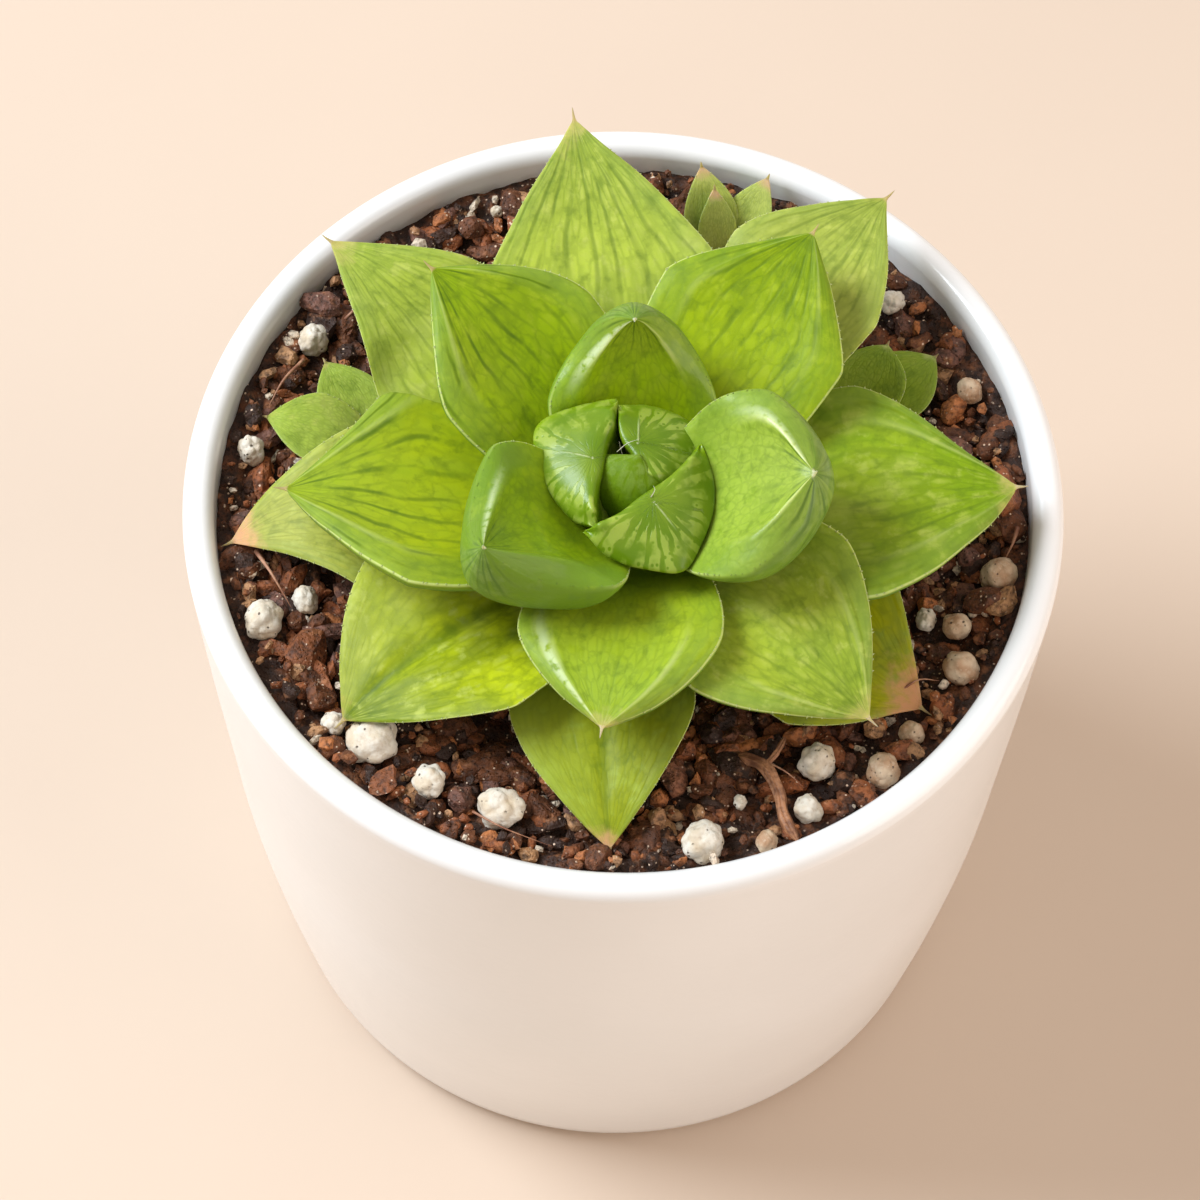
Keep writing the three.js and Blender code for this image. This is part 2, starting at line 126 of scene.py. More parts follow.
class Signal:
    """A node's output. Arithmetic on it adds Math nodes to the same finish."""

    def __init__(self, finish, socket):
        self.finish = finish
        self.socket = socket

    def __add__(self, other):
        return self.finish.math("ADD", self, other)

    def __sub__(self, other):
        return self.finish.math("SUBTRACT", self, other)

    def __rsub__(self, other):
        return self.finish.math("SUBTRACT", other, self)

    def __mul__(self, other):
        return self.finish.math("MULTIPLY", self, other)

    def __pow__(self, other):
        return self.finish.math("POWER", self, other)

    def __abs__(self):
        return self.finish.math("ABSOLUTE", self)

    __radd__ = __add__
    __rmul__ = __mul__

    def step(self, low, high):
        """0 below low and 1 above high, with a smooth rise between. High may be the lower."""
        inputs = {"Value": self, "From Min": low, "From Max": high}
        return self.finish.node("MapRange", {"interpolation_type": "SMOOTHSTEP"}, inputs)


print("a signal's operators:", [name.strip("_") for name in vars(Signal) if "__r" in name])

# %% [markdown]
# A finish collects the nodes of one material. One method takes any node's type, settings and
# socket values, and nothing else touches the node tree. The other methods are the few
# patterns that all surfaces here share: noise and cells sized in millimetres, a mix of two
# colours, a relief, and the shader that they feed.

# %% Finishes
def rgba(colour):
    """A colour written as (red, green, blue) with its alpha added; signals pass through."""
    return colour if isinstance(colour, Signal) else (*colour, 1)


class Finish:
    """A material that is built node by node."""

    def __init__(self, name):
        self.material = bpy.data.materials.new(name)
        self.material.use_nodes = True
        self.tree = self.material.node_tree
        self.tree.nodes.clear()

    def node(self, kind, settings=None, inputs=None, output=0):
        made = self.tree.nodes.new("ShaderNode" + kind)
        for key, value in (settings or {}).items():
            setattr(made, key, value)
        for key, value in (inputs or {}).items():
            if isinstance(value, Signal):
                self.tree.links.new(value.socket, made.inputs[key])
            else:
                made.inputs[key].default_value = value
        return Signal(self, made.outputs[output]) if made.outputs else None

    def math(self, operation, *values):
        return self.node("Math", {"operation": operation}, dict(enumerate(values)))

    def mix(self, mask, below, above):
        """The colour below where the mask is 0, and the one above where it is 1."""
        inputs = {0: mask, 6: rgba(below), 7: rgba(above)}
        return self.node("Mix", {"data_type": "RGBA"}, inputs, output=2)

    def parts(self, vector):
        """The three numbers of a vector."""
        split = self.node("SeparateXYZ", {}, {0: vector})
        return [Signal(self, socket) for socket in split.socket.node.outputs]

    def position(self):
        """The place on the object, in millimetres."""
        place = self.node("TexCoord", output=3)
        inputs = {0: place, "Scale": 1 / MM}
        return self.node("VectorMath", {"operation": "SCALE"}, inputs)

    def vector(self, x, y, z):
        return self.node("CombineXYZ", {}, {0: x, 1: y, 2: z})

    def noise(self, vector, size, detail=3, roughness=0.5):
        """Soft noise from 0 to 1 whose patches are about size millimetres."""
        inputs = {
            "Vector": vector, "Scale": 1 / size, "Detail": detail, "Roughness": roughness,
        }
        return self.node("TexNoise", {}, inputs)

    def cells(self, vector, size, feature="F1"):
        """Cells about size millimetres across, as distance to their middles or edges."""
        inputs = {"Vector": vector, "Scale": 1 / size}
        return self.node("TexVoronoi", {"feature": feature}, inputs)

    def relief(self, height, depth):
        """A normal for a surface whose height signal of 1 stands depth millimetres high."""
        return self.node("Bump", {}, {"Height": height, "Distance": depth * MM, "Strength": 1})

    def surface(self, colour, roughness, normal=None, coat=None, **constants):
        """Joins the signals to the shader. Constants go straight to their sockets."""
        inputs = {"Base Color": colour, "Roughness": roughness}
        if normal is not None:
            inputs["Normal"] = normal
        if coat is not None:
            inputs["Coat Weight"] = coat
        inputs.update({key.replace("_", " "): value for key, value in constants.items()})
        shader = self.node("BsdfPrincipled", {}, inputs)
        self.node("OutputMaterial", {}, {"Surface": shader})
        return self.material


print("a finish's patterns:", [name for name in vars(Finish) if not name.startswith("_")])

# %% [markdown]
# ## Meshes
#
# Every piece here is a skin of rings: a leaf's cross-sections, a pot's turned profile, a
# fibre's round section. One function joins rings to faces, and another closes both ends on a
# single point, so that every body is a closed one with its faces outward. Modifiers could
# skin a curve too, but then the rings' points could not be placed one by one.

# %% Skins of rings
def ring_faces(ring_count, around, closed_chain=False):
    """Faces between successive rings of points, each ring closed on itself."""
    faces = []
    last = ring_count if closed_chain else ring_count - 1
    for i in range(last):
        here = i * around
        there = (i + 1) % ring_count * around
        for k in range(around):
            after = (k + 1) % around
            faces.append((here + k, here + after, there + after, there + k))
    return faces


def fan(ring_start, around, tip, flip):
    """Triangles from one ring to a single point."""
    faces = []
    for k in range(around):
        pair = (ring_start + k, ring_start + (k + 1) % around)
        faces.append((*(pair if flip else pair[::-1]), tip))
    return faces


def closed_skin(ring_count, around, flip=False):
    """Faces of rings that close on two end points, which come after the rings' points."""
    first_end = ring_count * around
    faces = ring_faces(ring_count, around)
    faces = [face[::-1] for face in faces] if flip else faces
    faces += fan(0, around, first_end, flip)
    faces += fan(first_end - around, around, first_end + 1, not flip)
    return faces


def set_out(centre, side, up, lateral, lift):
    """A ring of points: the given offsets sideways and upward from its centre."""
    return centre + np.outer(lateral, side) + np.outer(lift, up)


print("faces of three rings of eight:", len(closed_skin(3, 8)))

# %% [markdown]
# Points and faces become a piece that rides on the model's body, takes its finish and hides
# the solid that it stands for. Places along and round each ring are kept as a UV map, because a
# finish that follows the veins needs them. Where a ring meets itself, v jumps from 1 back to
# 0, so the small values there are raised past 1 and no pattern is squeezed into one face.

# %% Pieces
SEAM_HIGH, SEAM_LOW = 0.75, 0.25


def unwrap_seam(mesh, values):
    """Where a face crosses the seam, its small v values are raised past 1."""
    start = np.empty(len(mesh.polygons), int)
    total = np.empty(len(mesh.polygons), int)
    mesh.polygons.foreach_get("loop_start", start)
    mesh.polygons.foreach_get("loop_total", total)
    face = np.repeat(np.arange(len(start)), total)
    high = np.zeros(len(start))
    np.maximum.at(high, face, values[:, 1])
    crossing = (high[face] > SEAM_HIGH) & (values[:, 1] < SEAM_LOW)
    values[crossing, 1] += 1


def make_piece(name, points, faces, material, replaces=(), uv=None, tint=None):
    """A piece from points in millimetres. uv holds one (u, v) for each point."""
    mesh = bpy.data.meshes.new(name)
    mesh.from_pydata((np.asarray(points) * MM).tolist(), [], faces)
    mesh.polygons.foreach_set("use_smooth", [True] * len(mesh.polygons))
    if uv is not None:
        corner = np.empty(len(mesh.loops), int)
        mesh.loops.foreach_get("vertex_index", corner)
        values = np.asarray(uv, float)[corner]
        unwrap_seam(mesh, values)
        mesh.uv_layers.new(name="leaf").data.foreach_set("uv", values.ravel())
    if tint is not None:
        mesh.attributes.new("tint", "FLOAT", "POINT").data.foreach_set("value", tint)
    mesh.materials.append(material)
    piece = bpy.data.objects.new(name, mesh)
    bpy.context.scene.collection.objects.link(piece)
    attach(piece, "root")
    if replaces:
        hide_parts(*replaces)
    return piece


print("solid pieces to stand for:", len(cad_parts))

# %% [markdown]
# ## Leaf skin
#
# Seen close, a leaf's upper face is bright yellow-green and a little translucent. Dark veins
# run together at the tip with a faint net between them, the margin is a fine pale line, and
# the back is a cooler green. The skin could be one long node tree, but it is easier to learn
# and to change as a few patterns laid over each other.
#
# Each leaf's look is a handful of numbers. Those that most leaves share stand here, and a
# leaf names only the ones in which it differs.

# %% Leaf look
VEIN_GREEN = (0.045, 0.11, 0.006)
BACK_GREEN = (0.13, 0.23, 0.03)
HAZE = (0.25, 0.35, 0.08)
# Pale of the margins, also painted as a highlight along the ridge.
MARGIN_AND_HIGHLIGHT_PALE = (0.55, 0.62, 0.22)
MUCRO_TAN = (0.50, 0.38, 0.17)
# Green of the shoulders beyond the ridge, also painted as shade on one shoulder.
CREST_AND_SHADE_GREEN = (0.15, 0.26, 0.018)
# Painted highlight on one shoulder of the standing leaves.
PAINTED_SHEEN_PALE = (0.68, 0.76, 0.46)
LEAF_SUBSURFACE = dict(Subsurface_Radius=(1.0, 1.0, 0.2), Subsurface_Scale=0.002)

LEAF_LOOK = dict(
    veins=0.5, net=0.18, haze=0.3, seed=0.0, dry=0.0, edge=0.7, edge_fade=(1.0, 0.9),
    gloss=0.14, coat=0.03, mucro=MUCRO_TAN, crest=0.0, ridge=0.3, reach=0.35,
    back_veins=0.7, groove=0.0, roughness=0.40, sheen=0.0, shade=0.0, back=BACK_GREEN,
)
print("numbers in a leaf's look:", len(LEAF_LOOK))

# %% [markdown]
# The UV map gives the place along the leaf (u) and round its section (v), so every pattern
# bends and narrows with the leaf. The cosine of the way round runs from one margin to the
# other, and its sine tells the face from the back. Noise in millimetres breaks the patterns
# up, because no two veins are alike.

# %% A leaf's signals
class LeafSkin(Finish):
    """A leaf's finish, with the signals that its patterns share."""

    def __init__(self, name, look):
        super().__init__(name)
        self.look = look
        self.seed = look["seed"]
        self.along, around, _ = self.parts(self.node("UVMap", {"uv_map": "leaf"}))
        self.across = self.math("COSINE", around * TURN)
        self.facing = self.math("SINE", around * TURN)
        self.here = self.position()
        self.broad = self.noise(self.here, 7.0)
        self.fine = self.noise(self.here, 1.1)
        self.mottle = self.noise(self.here, 2.4, 4, 0.6)
        self.streak = self.drawn_out(7, 3, 3)
        self.wobble = self.drawn_out(2.2, 4, 2)

    def drawn_out(self, across, along, detail):
        """Noise that follows the leaf, by its patches across and along it."""
        place = self.vector(self.across * across + self.seed, self.along * along, self.seed)
        return self.noise(place, 1.0, detail)


print("patterns that a leaf adds:", [name for name in vars(LeafSkin) if name[0] != "_"])

# %% [markdown]
# The ground colour goes from base to outer part along the leaf. Real leaves never blend so
# evenly, so the place is shaken by noise and then broken into streaks, patches and mottles
# of the same few greens.

# %% Ground colour
def ground_colour(skin, base, middle, outer):
    """The leaf's greens from its base outward, before any line is drawn on them."""
    place = skin.along + (skin.broad - 0.5) * 0.35 + (skin.streak - 0.5) * 0.25
    colour = skin.mix(place.step(0.1, 0.5), base, middle)
    colour = skin.mix(place.step(0.5, 0.95) * 0.9, colour, outer)
    colour = skin.mix(skin.broad.step(0.5, 0.75) * 0.5, colour, base)
    colour = skin.mix(skin.streak.step(0.5, 0.25) * 0.5, colour, outer)
    patch = skin.drawn_out(2.5, 5, 2)
    colour = skin.mix(patch.step(0.52, 0.3) * 0.55, colour, outer)
    colour = skin.mix(skin.mottle.step(0.5, 0.68) * 0.3, colour, VEIN_GREEN)
    return skin.mix(skin.mottle.step(0.46, 0.3) * 0.55, colour, base)


print("dark green of the veins and mottles:", VEIN_GREEN)

# %% [markdown]
# Long pale cells with a faint net between them fill the skin, and the veins run along it,
# closer together towards the tip. Each vein is a narrow band in the middle of a lane. The
# lanes are cut from the place across the leaf, so they close up where the leaf narrows, and
# noise along each lane breaks the line into dashes.

# %% Net and veins
CELLS_ACROSS, CELLS_ALONG = 10, 15
VEINS_ACROSS = 4.6
VEIN_FADE = 0.35


def net_and_cells(skin):
    """The net between the skin's long cells, and their pale middles."""
    net_along = skin.along * CELLS_ALONG + skin.fine * 0.8
    grid = skin.vector(skin.across * CELLS_ACROSS + skin.seed, net_along, skin.seed)
    net = skin.cells(grid, 1.0, "DISTANCE_TO_EDGE").step(0.22, 0.0) * skin.along.step(0.1, 0.45)
    pale = skin.noise(skin.here, 3.0).step(0.4, 0.65)
    return net, skin.cells(grid, 1.0).step(0.55, 0.05) * pale


def vein_lines(skin):
    """Dark lines that close up towards the tip, broken into dashes."""
    lane = skin.across * VEINS_ACROSS + skin.wobble + skin.seed
    lane_offset = abs(skin.math("FRACT", lane) - 0.5)
    width = skin.along ** 6 * 0.2 + 0.11 + skin.fine * 0.08
    line = 1 - lane_offset.step(width * 0.15, width)
    dash = skin.vector(skin.math("FLOOR", lane) * 7.3, skin.along * 6, skin.seed)
    line = line * skin.noise(dash, 1.0, 3).step(0.34, 0.6)
    reach = skin.look["reach"]
    return line * skin.along.step(reach, reach + VEIN_FADE)


print("lanes across a leaf:", 2 * VEINS_ACROSS)

# %% [markdown]
# The back is a cooler green with pale windows between its veins. The leaves that stand up
# also have shoulders: a darker band along each side of the face, a painted highlight along
# the ridge where it begins, a painted sheen on one shoulder and painted shade on the other.
# The highlights could be left to the lights, but here they are painted into the colour.

# %% Back and shoulders
def back_colour(skin, line, base, middle):
    """The back: cooler, with pale windows between the veins near the tip."""
    window = (1 - line) * skin.along.step(0.55, 0.95) * skin.fine.step(0.4, 0.6) * 0.45
    back = skin.mix(skin.along.step(0.5, 0.0), skin.look["back"], base)
    back = skin.mix(skin.streak.step(0.4, 0.7) * 0.4, back, middle)
    back = skin.mix(window, back, HAZE)
    return skin.mix(line * skin.look["back_veins"], back, VEIN_GREEN)


def with_shoulders(skin, colour, line):
    """Dark shoulders with a painted highlight on the ridge, a painted sheen on one shoulder
    and painted shade on the other. The sign of the look's sheen says on which side.
    """
    look, along, across = skin.look, skin.along, skin.across
    upper_side = skin.facing.step(0.0, 0.25)
    beyond = abs(across).step(0.60, 0.76) * along.step(0.25, 0.5)
    beyond = beyond * (1 - line) * (1 - skin.mottle.step(0.5, 0.36) * 0.7)
    colour = skin.mix(beyond * look["crest"], colour, CREST_AND_SHADE_GREEN)
    # Painted highlight: a pale line along each shoulder's ridge.
    ridge = abs(abs(across) - 0.68).step(0.07, 0.0) * along.step(0.5, 0.8)
    ridge = ridge * skin.streak.step(0.3, 0.5) * upper_side * look["ridge"]
    colour = skin.mix(ridge, colour, MARGIN_AND_HIGHLIGHT_PALE)
    # Painted sheen: a pale highlight band on one shoulder.
    sheen_side = across * math.copysign(1, look["sheen"])
    band = abs(sheen_side + along * 0.25 - 0.93 + (skin.streak - 0.5) * 0.12)
    sheen = band.step(0.10, 0.0) * skin.fine.step(0.3, 0.5)
    sheen = sheen * along.step(0.45, 0.75) * along.step(1.0, 0.95) * upper_side
    colour = skin.mix(sheen * abs(look["sheen"]), colour, PAINTED_SHEEN_PALE)
    # Painted shade: the shoulder opposite the sheen is darkened.
    shade = sheen_side.step(-0.45, -0.75) * along.step(0.15, 0.45)
    shade = shade * upper_side * (skin.broad * 0.5 + 0.5)
    return skin.mix(shade * look["shade"], colour, CREST_AND_SHADE_GREEN)


print("leaf colours outside the greens:", [MARGIN_AND_HIGHLIGHT_PALE, PAINTED_SHEEN_PALE])

# %% [markdown]
# The whole skin lays these patterns over each other in the order in which they cover one
# another: ground, net, veins, a haze inside the margins, the back, the shoulders, the pale
# margin, and last the tip, which dries first. Light enters a leaf and leaves it again nearby,
# so the shader has a little subsurface scattering. Without it the leaf would look painted.

# %% The whole skin
def leaf_finish(name, base, middle, outer, tip=None, **look):
    """A leaf's skin, from its colours at the base, the middle and the outer part."""
    look = {**LEAF_LOOK, **look}
    skin = LeafSkin(name, look)
    along, across, fine = skin.along, skin.across, skin.fine
    net, cell = net_and_cells(skin)
    line = vein_lines(skin)
    colour = ground_colour(skin, base, middle, outer)
    colour = skin.mix(cell * 0.4, colour, base)
    colour = skin.mix(net * look["net"], colour, VEIN_GREEN)
    colour = skin.mix(line * look["veins"], colour, VEIN_GREEN)
    near_edge = abs(across).step(0.55, 0.95) * along.step(0.35, 0.8) * (1 - line)
    colour = skin.mix(near_edge * look["haze"], colour, HAZE)
    # Painted shade down the midline crease, and one half of the leaf painted paler, as a folded
    # leaf is lit on one side.
    if look["groove"] > 0:
        groove = abs(across + (skin.wobble - 0.5) * 0.1).step(0.11, 0.0)
        groove = groove * along.step(0.15, 0.4)
        colour = skin.mix(groove * look["groove"], colour, VEIN_GREEN)
        colour = skin.mix(across.step(0.0, -0.5) * 0.3, colour, base)
    back = back_colour(skin, line, base, middle)
    colour = skin.mix(skin.facing.step(0.02, -0.25), colour, back)
    if look["crest"] > 0:
        colour = with_shoulders(skin, colour, line)
    margin = abs(skin.facing).step(0.16, 0.05) * along.step(*look["edge_fade"])
    colour = skin.mix(margin * look["edge"], colour, MARGIN_AND_HIGHLIGHT_PALE)
    if tip is not None:
        spread = along + (fine - 0.5) * 0.12 + (skin.broad - 0.5) * 0.2 + look["dry"]
        colour = skin.mix(spread.step(0.91, 1.02), colour, tip)
    colour = skin.mix(along.step(0.99, 1.02), colour, look["mucro"])
    height = fine * 0.6 + skin.streak * 0.4 - line * 0.25 - net * 0.15
    roughness = skin.broad * 0.14 + look["roughness"] + fine * 0.08
    return skin.surface(
        colour, roughness, skin.relief(height, 0.08), Subsurface_Weight=0.3,
        **LEAF_SUBSURFACE, Specular_IOR_Level=look["gloss"], Coat_Weight=look["coat"],
        Coat_Roughness=0.15,
    )


print("finishes so far:", len(bpy.data.materials))

# %% [markdown]
# ## Leaf form
#
# Each leaf is a fleshy wedge: a slightly domed upper face, cupped from margin to margin, over
# a keeled back. Its middle line starts at the stem and bends out and down, or up and in for
# the inner leaves. So a leaf is drawn by a few numbers that a gardener could read off the
# plant: where it points, how long and wide it is, and how steeply it leaves and ends. A
# sculpted mesh would be freer, but nothing would tie it to the solid model.

# %% Leaf numbers
CROWN = np.array([1.0, -5.0, LIP_HEIGHT])
LEAF_RINGS = 64
LEAF_SPOKES = 80
LAST_RING = 0.985
LEAF_ANGLES = TURN * np.arange(LEAF_SPOKES) / LEAF_SPOKES


def leaf_defaults(**form):
    """A leaf's numbers with those that most leaves share. Angles are in degrees."""
    shared = dict(
        centre=(CROWN[0], CROWN[1]), start=3.0, keel=1.7, dome=0.3, roll=0.0, sweep=0.0,
        rounding=0.25, crease=0.0, teeth=0.3, hook=0.25, seed=0.0, fill=0.0, soft=0.0,
        ridge=0.0, base_cup=1.0, mucro=1.2, slim=0.5, wing=0.0,
    )
    return {**shared, **form}


print("numbers that leaves share:", len(leaf_defaults()))

# %% [markdown]
# Seen flat, a leaf widens from its base and then draws in to its tip, fast or slowly. Seen
# from the side, its middle line is walked in short steps whose steepness goes from one angle
# to another. A drawn curve could do the same, but angles are what one reads off a plant.

# %% Outline and middle line
def smooth(value, low, high):
    """0 below low, 1 above high, and a smooth rise between."""
    share = np.clip((value - low) / (high - low), 0, 1)
    return share * share * (3 - 2 * share)


def half_width(form, place):
    """Half the leaf's width at places from 0 at the base to 1 at the tip."""
    rising = np.sin(np.pi / 2 * np.clip(place / form["widest"], 0, 1))
    past = np.clip((place - form["widest"]) / (1 - form["widest"]), 0, 1)
    before = form["base_width"] + (1 - form["base_width"]) * rising
    share = np.where(place < form["widest"], before, 1 - past ** form["taper"])
    return form["width"] / 2 * share


def heading(form, place):
    """The direction of the middle line at each place, and its turn seen from above."""
    first, last = form["rise"]
    rise = np.radians(first + (last - first) * place ** form["bow"])
    turn = np.radians(form["turn"] + form["sweep"] * place)
    flat = np.cos(rise)
    return np.stack([flat * np.cos(turn), flat * np.sin(turn), np.sin(rise)], -1), turn


def middle_line(form, place):
    """Points, tangents, sideways and upward directions along the leaf."""
    tangent, turn = heading(form, place)
    between, _ = heading(form, (place[1:] + place[:-1]) / 2)
    steps = between * (form["length"] * np.diff(place))[:, None]
    start = np.radians(form["turn"])
    first = np.array([
        form["centre"][0] + form["start"] * np.cos(start),
        form["centre"][1] + form["start"] * np.sin(start),
        LIP_HEIGHT + form["seat"],
    ])
    points = first + np.concatenate([[[0, 0, 0]], np.cumsum(steps, 0)])
    level = np.stack([-np.sin(turn), np.cos(turn), 0 * turn], -1)
    over = np.cross(tangent, level)
    roll = np.radians(form["roll"])
    side = level * np.cos(roll) + over * np.sin(roll)
    up = over * np.cos(roll) - level * np.sin(roll)
    return points, tangent, side, up


print("a smooth rise at a quarter:", round(float(smooth(0.25, 0, 1)), 3))

# %% [markdown]
# A cross-section is a flat loop of points. Its upper half is cupped, domed in the middle and
# rounded off at the margins, and may carry shoulders, ridges and a crease. Its lower half
# hangs as a keel. The same loop goes all along the leaf while its numbers change slowly.

# %% Cross-section
MARGIN_START, MARGIN_SPAN = 0.86, 0.14
SHOULDER, SHOULDER_SPAN = 0.66, 0.34
RIDGE_WIDTH = 0.11
CREASE_WIDTH = 0.12


def leaf_section(form, half, back, dome, angle):
    """Sideways and upward offsets of one cross-section, at angles round it."""
    across = np.cos(angle)
    outward = np.abs(across)
    below = np.sin(angle) < -1e-6
    lateral = across * half
    cupped = form["cup"] * lateral ** 2 / half
    lateral = np.where(across < 0, lateral * (1 + form["wing"]), lateral)
    swell = np.where(below, -form["bulge"] * half * np.sin(2 * angle), 0)
    face = dome * (1 - across ** 2)
    rounded = np.clip((outward - MARGIN_START) / MARGIN_SPAN, 0, 1) ** 2
    sloped = np.clip((outward - SHOULDER) / SHOULDER_SPAN, 0, 1) ** 1.3
    face = face - form["rounding"] * rounded - form["soft"] * sloped
    face = face + form["ridge"] * np.exp(-((outward - SHOULDER) / RIDGE_WIDTH) ** 2)
    face = face - form["crease"] * np.exp(-(across / CREASE_WIDTH) ** 2)
    under = -form["rounding"] - form["soft"]
    under = under - back * np.clip(1 - outward ** form["keel"], 0, 1) ** 0.7
    return lateral + swell, cupped + np.where(below, under, face)


def section_form(form, place, half):
    """The numbers of one cross-section, from those of the leaf."""
    shape = dict(form)
    opened = float(smooth(place, 0.1, 0.6))
    shape["rounding"] = form["rounding"] * min(1, half / 3)
    shape["soft"] = form["soft"] * float(smooth(place, 0.3, 0.7)) * min(1, half / 5)
    shape["ridge"] = form["ridge"] * float(smooth(place, 0.4, 0.75)) * min(1, half / 5)
    shape["cup"] = form["cup"] * (form["base_cup"] + (1 - form["base_cup"]) * opened)
    shape["crease"] = form["crease"] * math.sin(math.pi * min(place * 1.1, 1)) ** 0.6
    shape["wing"] = form["wing"] * math.sin(math.pi * place)
    return shape


print("points round a leaf:", len(LEAF_ANGLES))

# %% [markdown]
# A haworthia's leaf ends in a fine stiff point, the mucro. The last cross-section is blended
# into smaller and smaller round rings that run a little past the tip and hook upward. So the
# point grows out of the leaf and is not a cone stuck on it.

# %% Rings of a leaf
MUCRO_RINGS = 8
MUCRO_RADIUS = 0.18
MUCRO_END = 0.03
MUCRO_UV = 0.1


def body_rings(form, place, line, side, up):
    """The leaf's cross-sections, and the offsets of the last one without its relief."""
    half = half_width(form, place)
    filled = 0.5 + 0.5 * np.sin(np.pi / 2 * np.clip(place / 0.5, 0, 1))
    back = form["thickness"] * filled * (1 - place ** 3) ** form["slim"]
    dome = form["dome"] * np.clip(4 * half / form["width"], 0, 1)
    dome = dome + form["fill"] * smooth(place, 0.25, 0.75) * (2 * half / form["width"]) ** 0.7
    rings = []
    for i in range(LEAF_RINGS):
        shape = section_form(form, place[i], half[i])
        lateral, lift = leaf_section(shape, half[i], back[i], dome[i], LEAF_ANGLES)
        rings.append(set_out(line[i], side[i], up[i], lateral, lift))
    plain = {**form, "rounding": 0, "crease": 0, "soft": 0, "ridge": 0, "wing": 0}
    return rings, leaf_section(plain, half[-1], back[-1], dome[-1], LEAF_ANGLES)


def mucro_rings(form, section, line, ahead, side, up):
    """Rings that draw the last cross-section in to a fine hooked point."""
    rings = []
    for k in range(1, MUCRO_RINGS + 1):
        t = k / MUCRO_RINGS
        radius = MUCRO_RADIUS * (1 - t) ** 0.8 + MUCRO_END
        blend = min(1, 2.5 * t) ** 0.7
        lateral = section[0] * (1 - blend) + radius * np.cos(LEAF_ANGLES) * blend
        lift = section[1] * (1 - blend) + radius * np.sin(LEAF_ANGLES) * blend
        centre = line[-2] + (line[-1] - line[-2]) * min(1, t * 2)
        centre = centre + ahead * form["mucro"] * max(0, t - 0.25) * 1.33
        centre = centre + up * form["hook"] * form["mucro"] * t * t
        rings.append(set_out(centre, side, up, lateral, lift))
    return rings


def leaf_points(form):
    """The leaf's rings of points, and each point's (u, v)."""
    place = np.linspace(0, LAST_RING, LEAF_RINGS)
    line, tangent, side, up = middle_line(form, np.append(place, 1.0))
    rings, section = body_rings(form, place, line, side, up)
    rings += mucro_rings(form, section, line, tangent[-1], side[-1], up[-1])
    past = [LAST_RING + MUCRO_UV * k / MUCRO_RINGS for k in range(1, MUCRO_RINGS + 1)]
    uv = [(u, angle / TURN) for u in [*place, *past] for angle in LEAF_ANGLES]
    return np.array(rings), uv


print("points on a leaf:", (LEAF_RINGS + MUCRO_RINGS) * LEAF_SPOKES + 2)

# %% [markdown]
# No line on a plant is ruled. Every point is moved by a slow swell and a fine unevenness,
# taken from noise at the point itself, so that neighbours move together. The noise that
# gives three numbers starts from the clock, so it is seeded here, once, and every run then
# gives the same leaves.

# %% Unevenness
NOISE_SEED = 7
SWELL_SCALE = 0.11
FINE_SCALE = 0.55
FINE_UNEVEN = 0.035
noise.seed_set(NOISE_SEED)


def wrinkled(points, seed, uneven):
    """The points moved by a slow swell of that many millimetres and a fine unevenness."""
    moved = []
    shift = Vector((seed * 7.3, seed * 3.1, 0))
    for point in points:
        spot = Vector(point)
        slow = noise.noise_vector(spot * SWELL_SCALE + shift)
        fine = noise.noise_vector(spot * FINE_SCALE + shift)
        moved.append(point + np.array(slow) * uneven + np.array(fine) * FINE_UNEVEN)
    return np.array(moved)


print("a swell at the crown:", wrinkled([CROWN], 0, 1.0)[0].round(2))

# %% [markdown]
# Leaves press on each other where they cross. Each margin is lowered until it lies under the
# leaves that rest on it: a ray is cast down from above every second point, and where it
# meets such a leaf too low, the margin on that side sinks by the difference. The sinking is
# then smoothed along the leaf, as flesh would bend. A cloth or soft-body simulation would
# find such a rest too, but no two runs of it are as easy to steer.

# %% Pressed margins
RAY_START = 14
RAY_LENGTH = 26
CLEARANCE = 0.7
MOST_SINK = 5.5
STIFF_MIDDLE = 0.25
SINK_BEND = 1.5
SINK_SPREAD = 3.5


def margin_sink(rings, above):
    """How far each margin has to sink to lie below the leaves that rest on this one."""
    sink = np.zeros((LEAF_RINGS, 2))
    down = Vector((0, 0, -1))
    for i in range(LEAF_RINGS // 4, LEAF_RINGS - 2):
        for k in range(0, LEAF_SPOKES // 2 + 1, 2):
            across = math.cos(LEAF_ANGLES[k])
            if abs(across) < STIFF_MIDDLE:
                continue
            side = 0 if across > 0 else 1
            point = Vector(rings[i, k])
            start = point + Vector((0, 0, RAY_START))
            for tree in above:
                hit, normal, _, _ = tree.ray_cast(start, down, RAY_LENGTH)
                if hit is None or normal.z < 0:
                    continue
                need = (point.z + CLEARANCE - hit.z) / abs(across) ** SINK_BEND
                if sink[i, side] < need < 2 * MOST_SINK:
                    sink[i, side] = need
    sink = np.minimum(sink, MOST_SINK)
    sink = np.maximum.reduce([np.roll(sink, shift, 0) for shift in (-1, 0, 1)])
    weights = np.exp(-(np.arange(-7, 8) / SINK_SPREAD) ** 2)
    weights = weights / weights.sum()
    sink = np.stack([np.convolve(sink[:, side], weights, "same") for side in (0, 1)], -1)
    return sink * (1 - smooth(np.linspace(0, 1, LEAF_RINGS), 0.9, 1.0))[:, None]


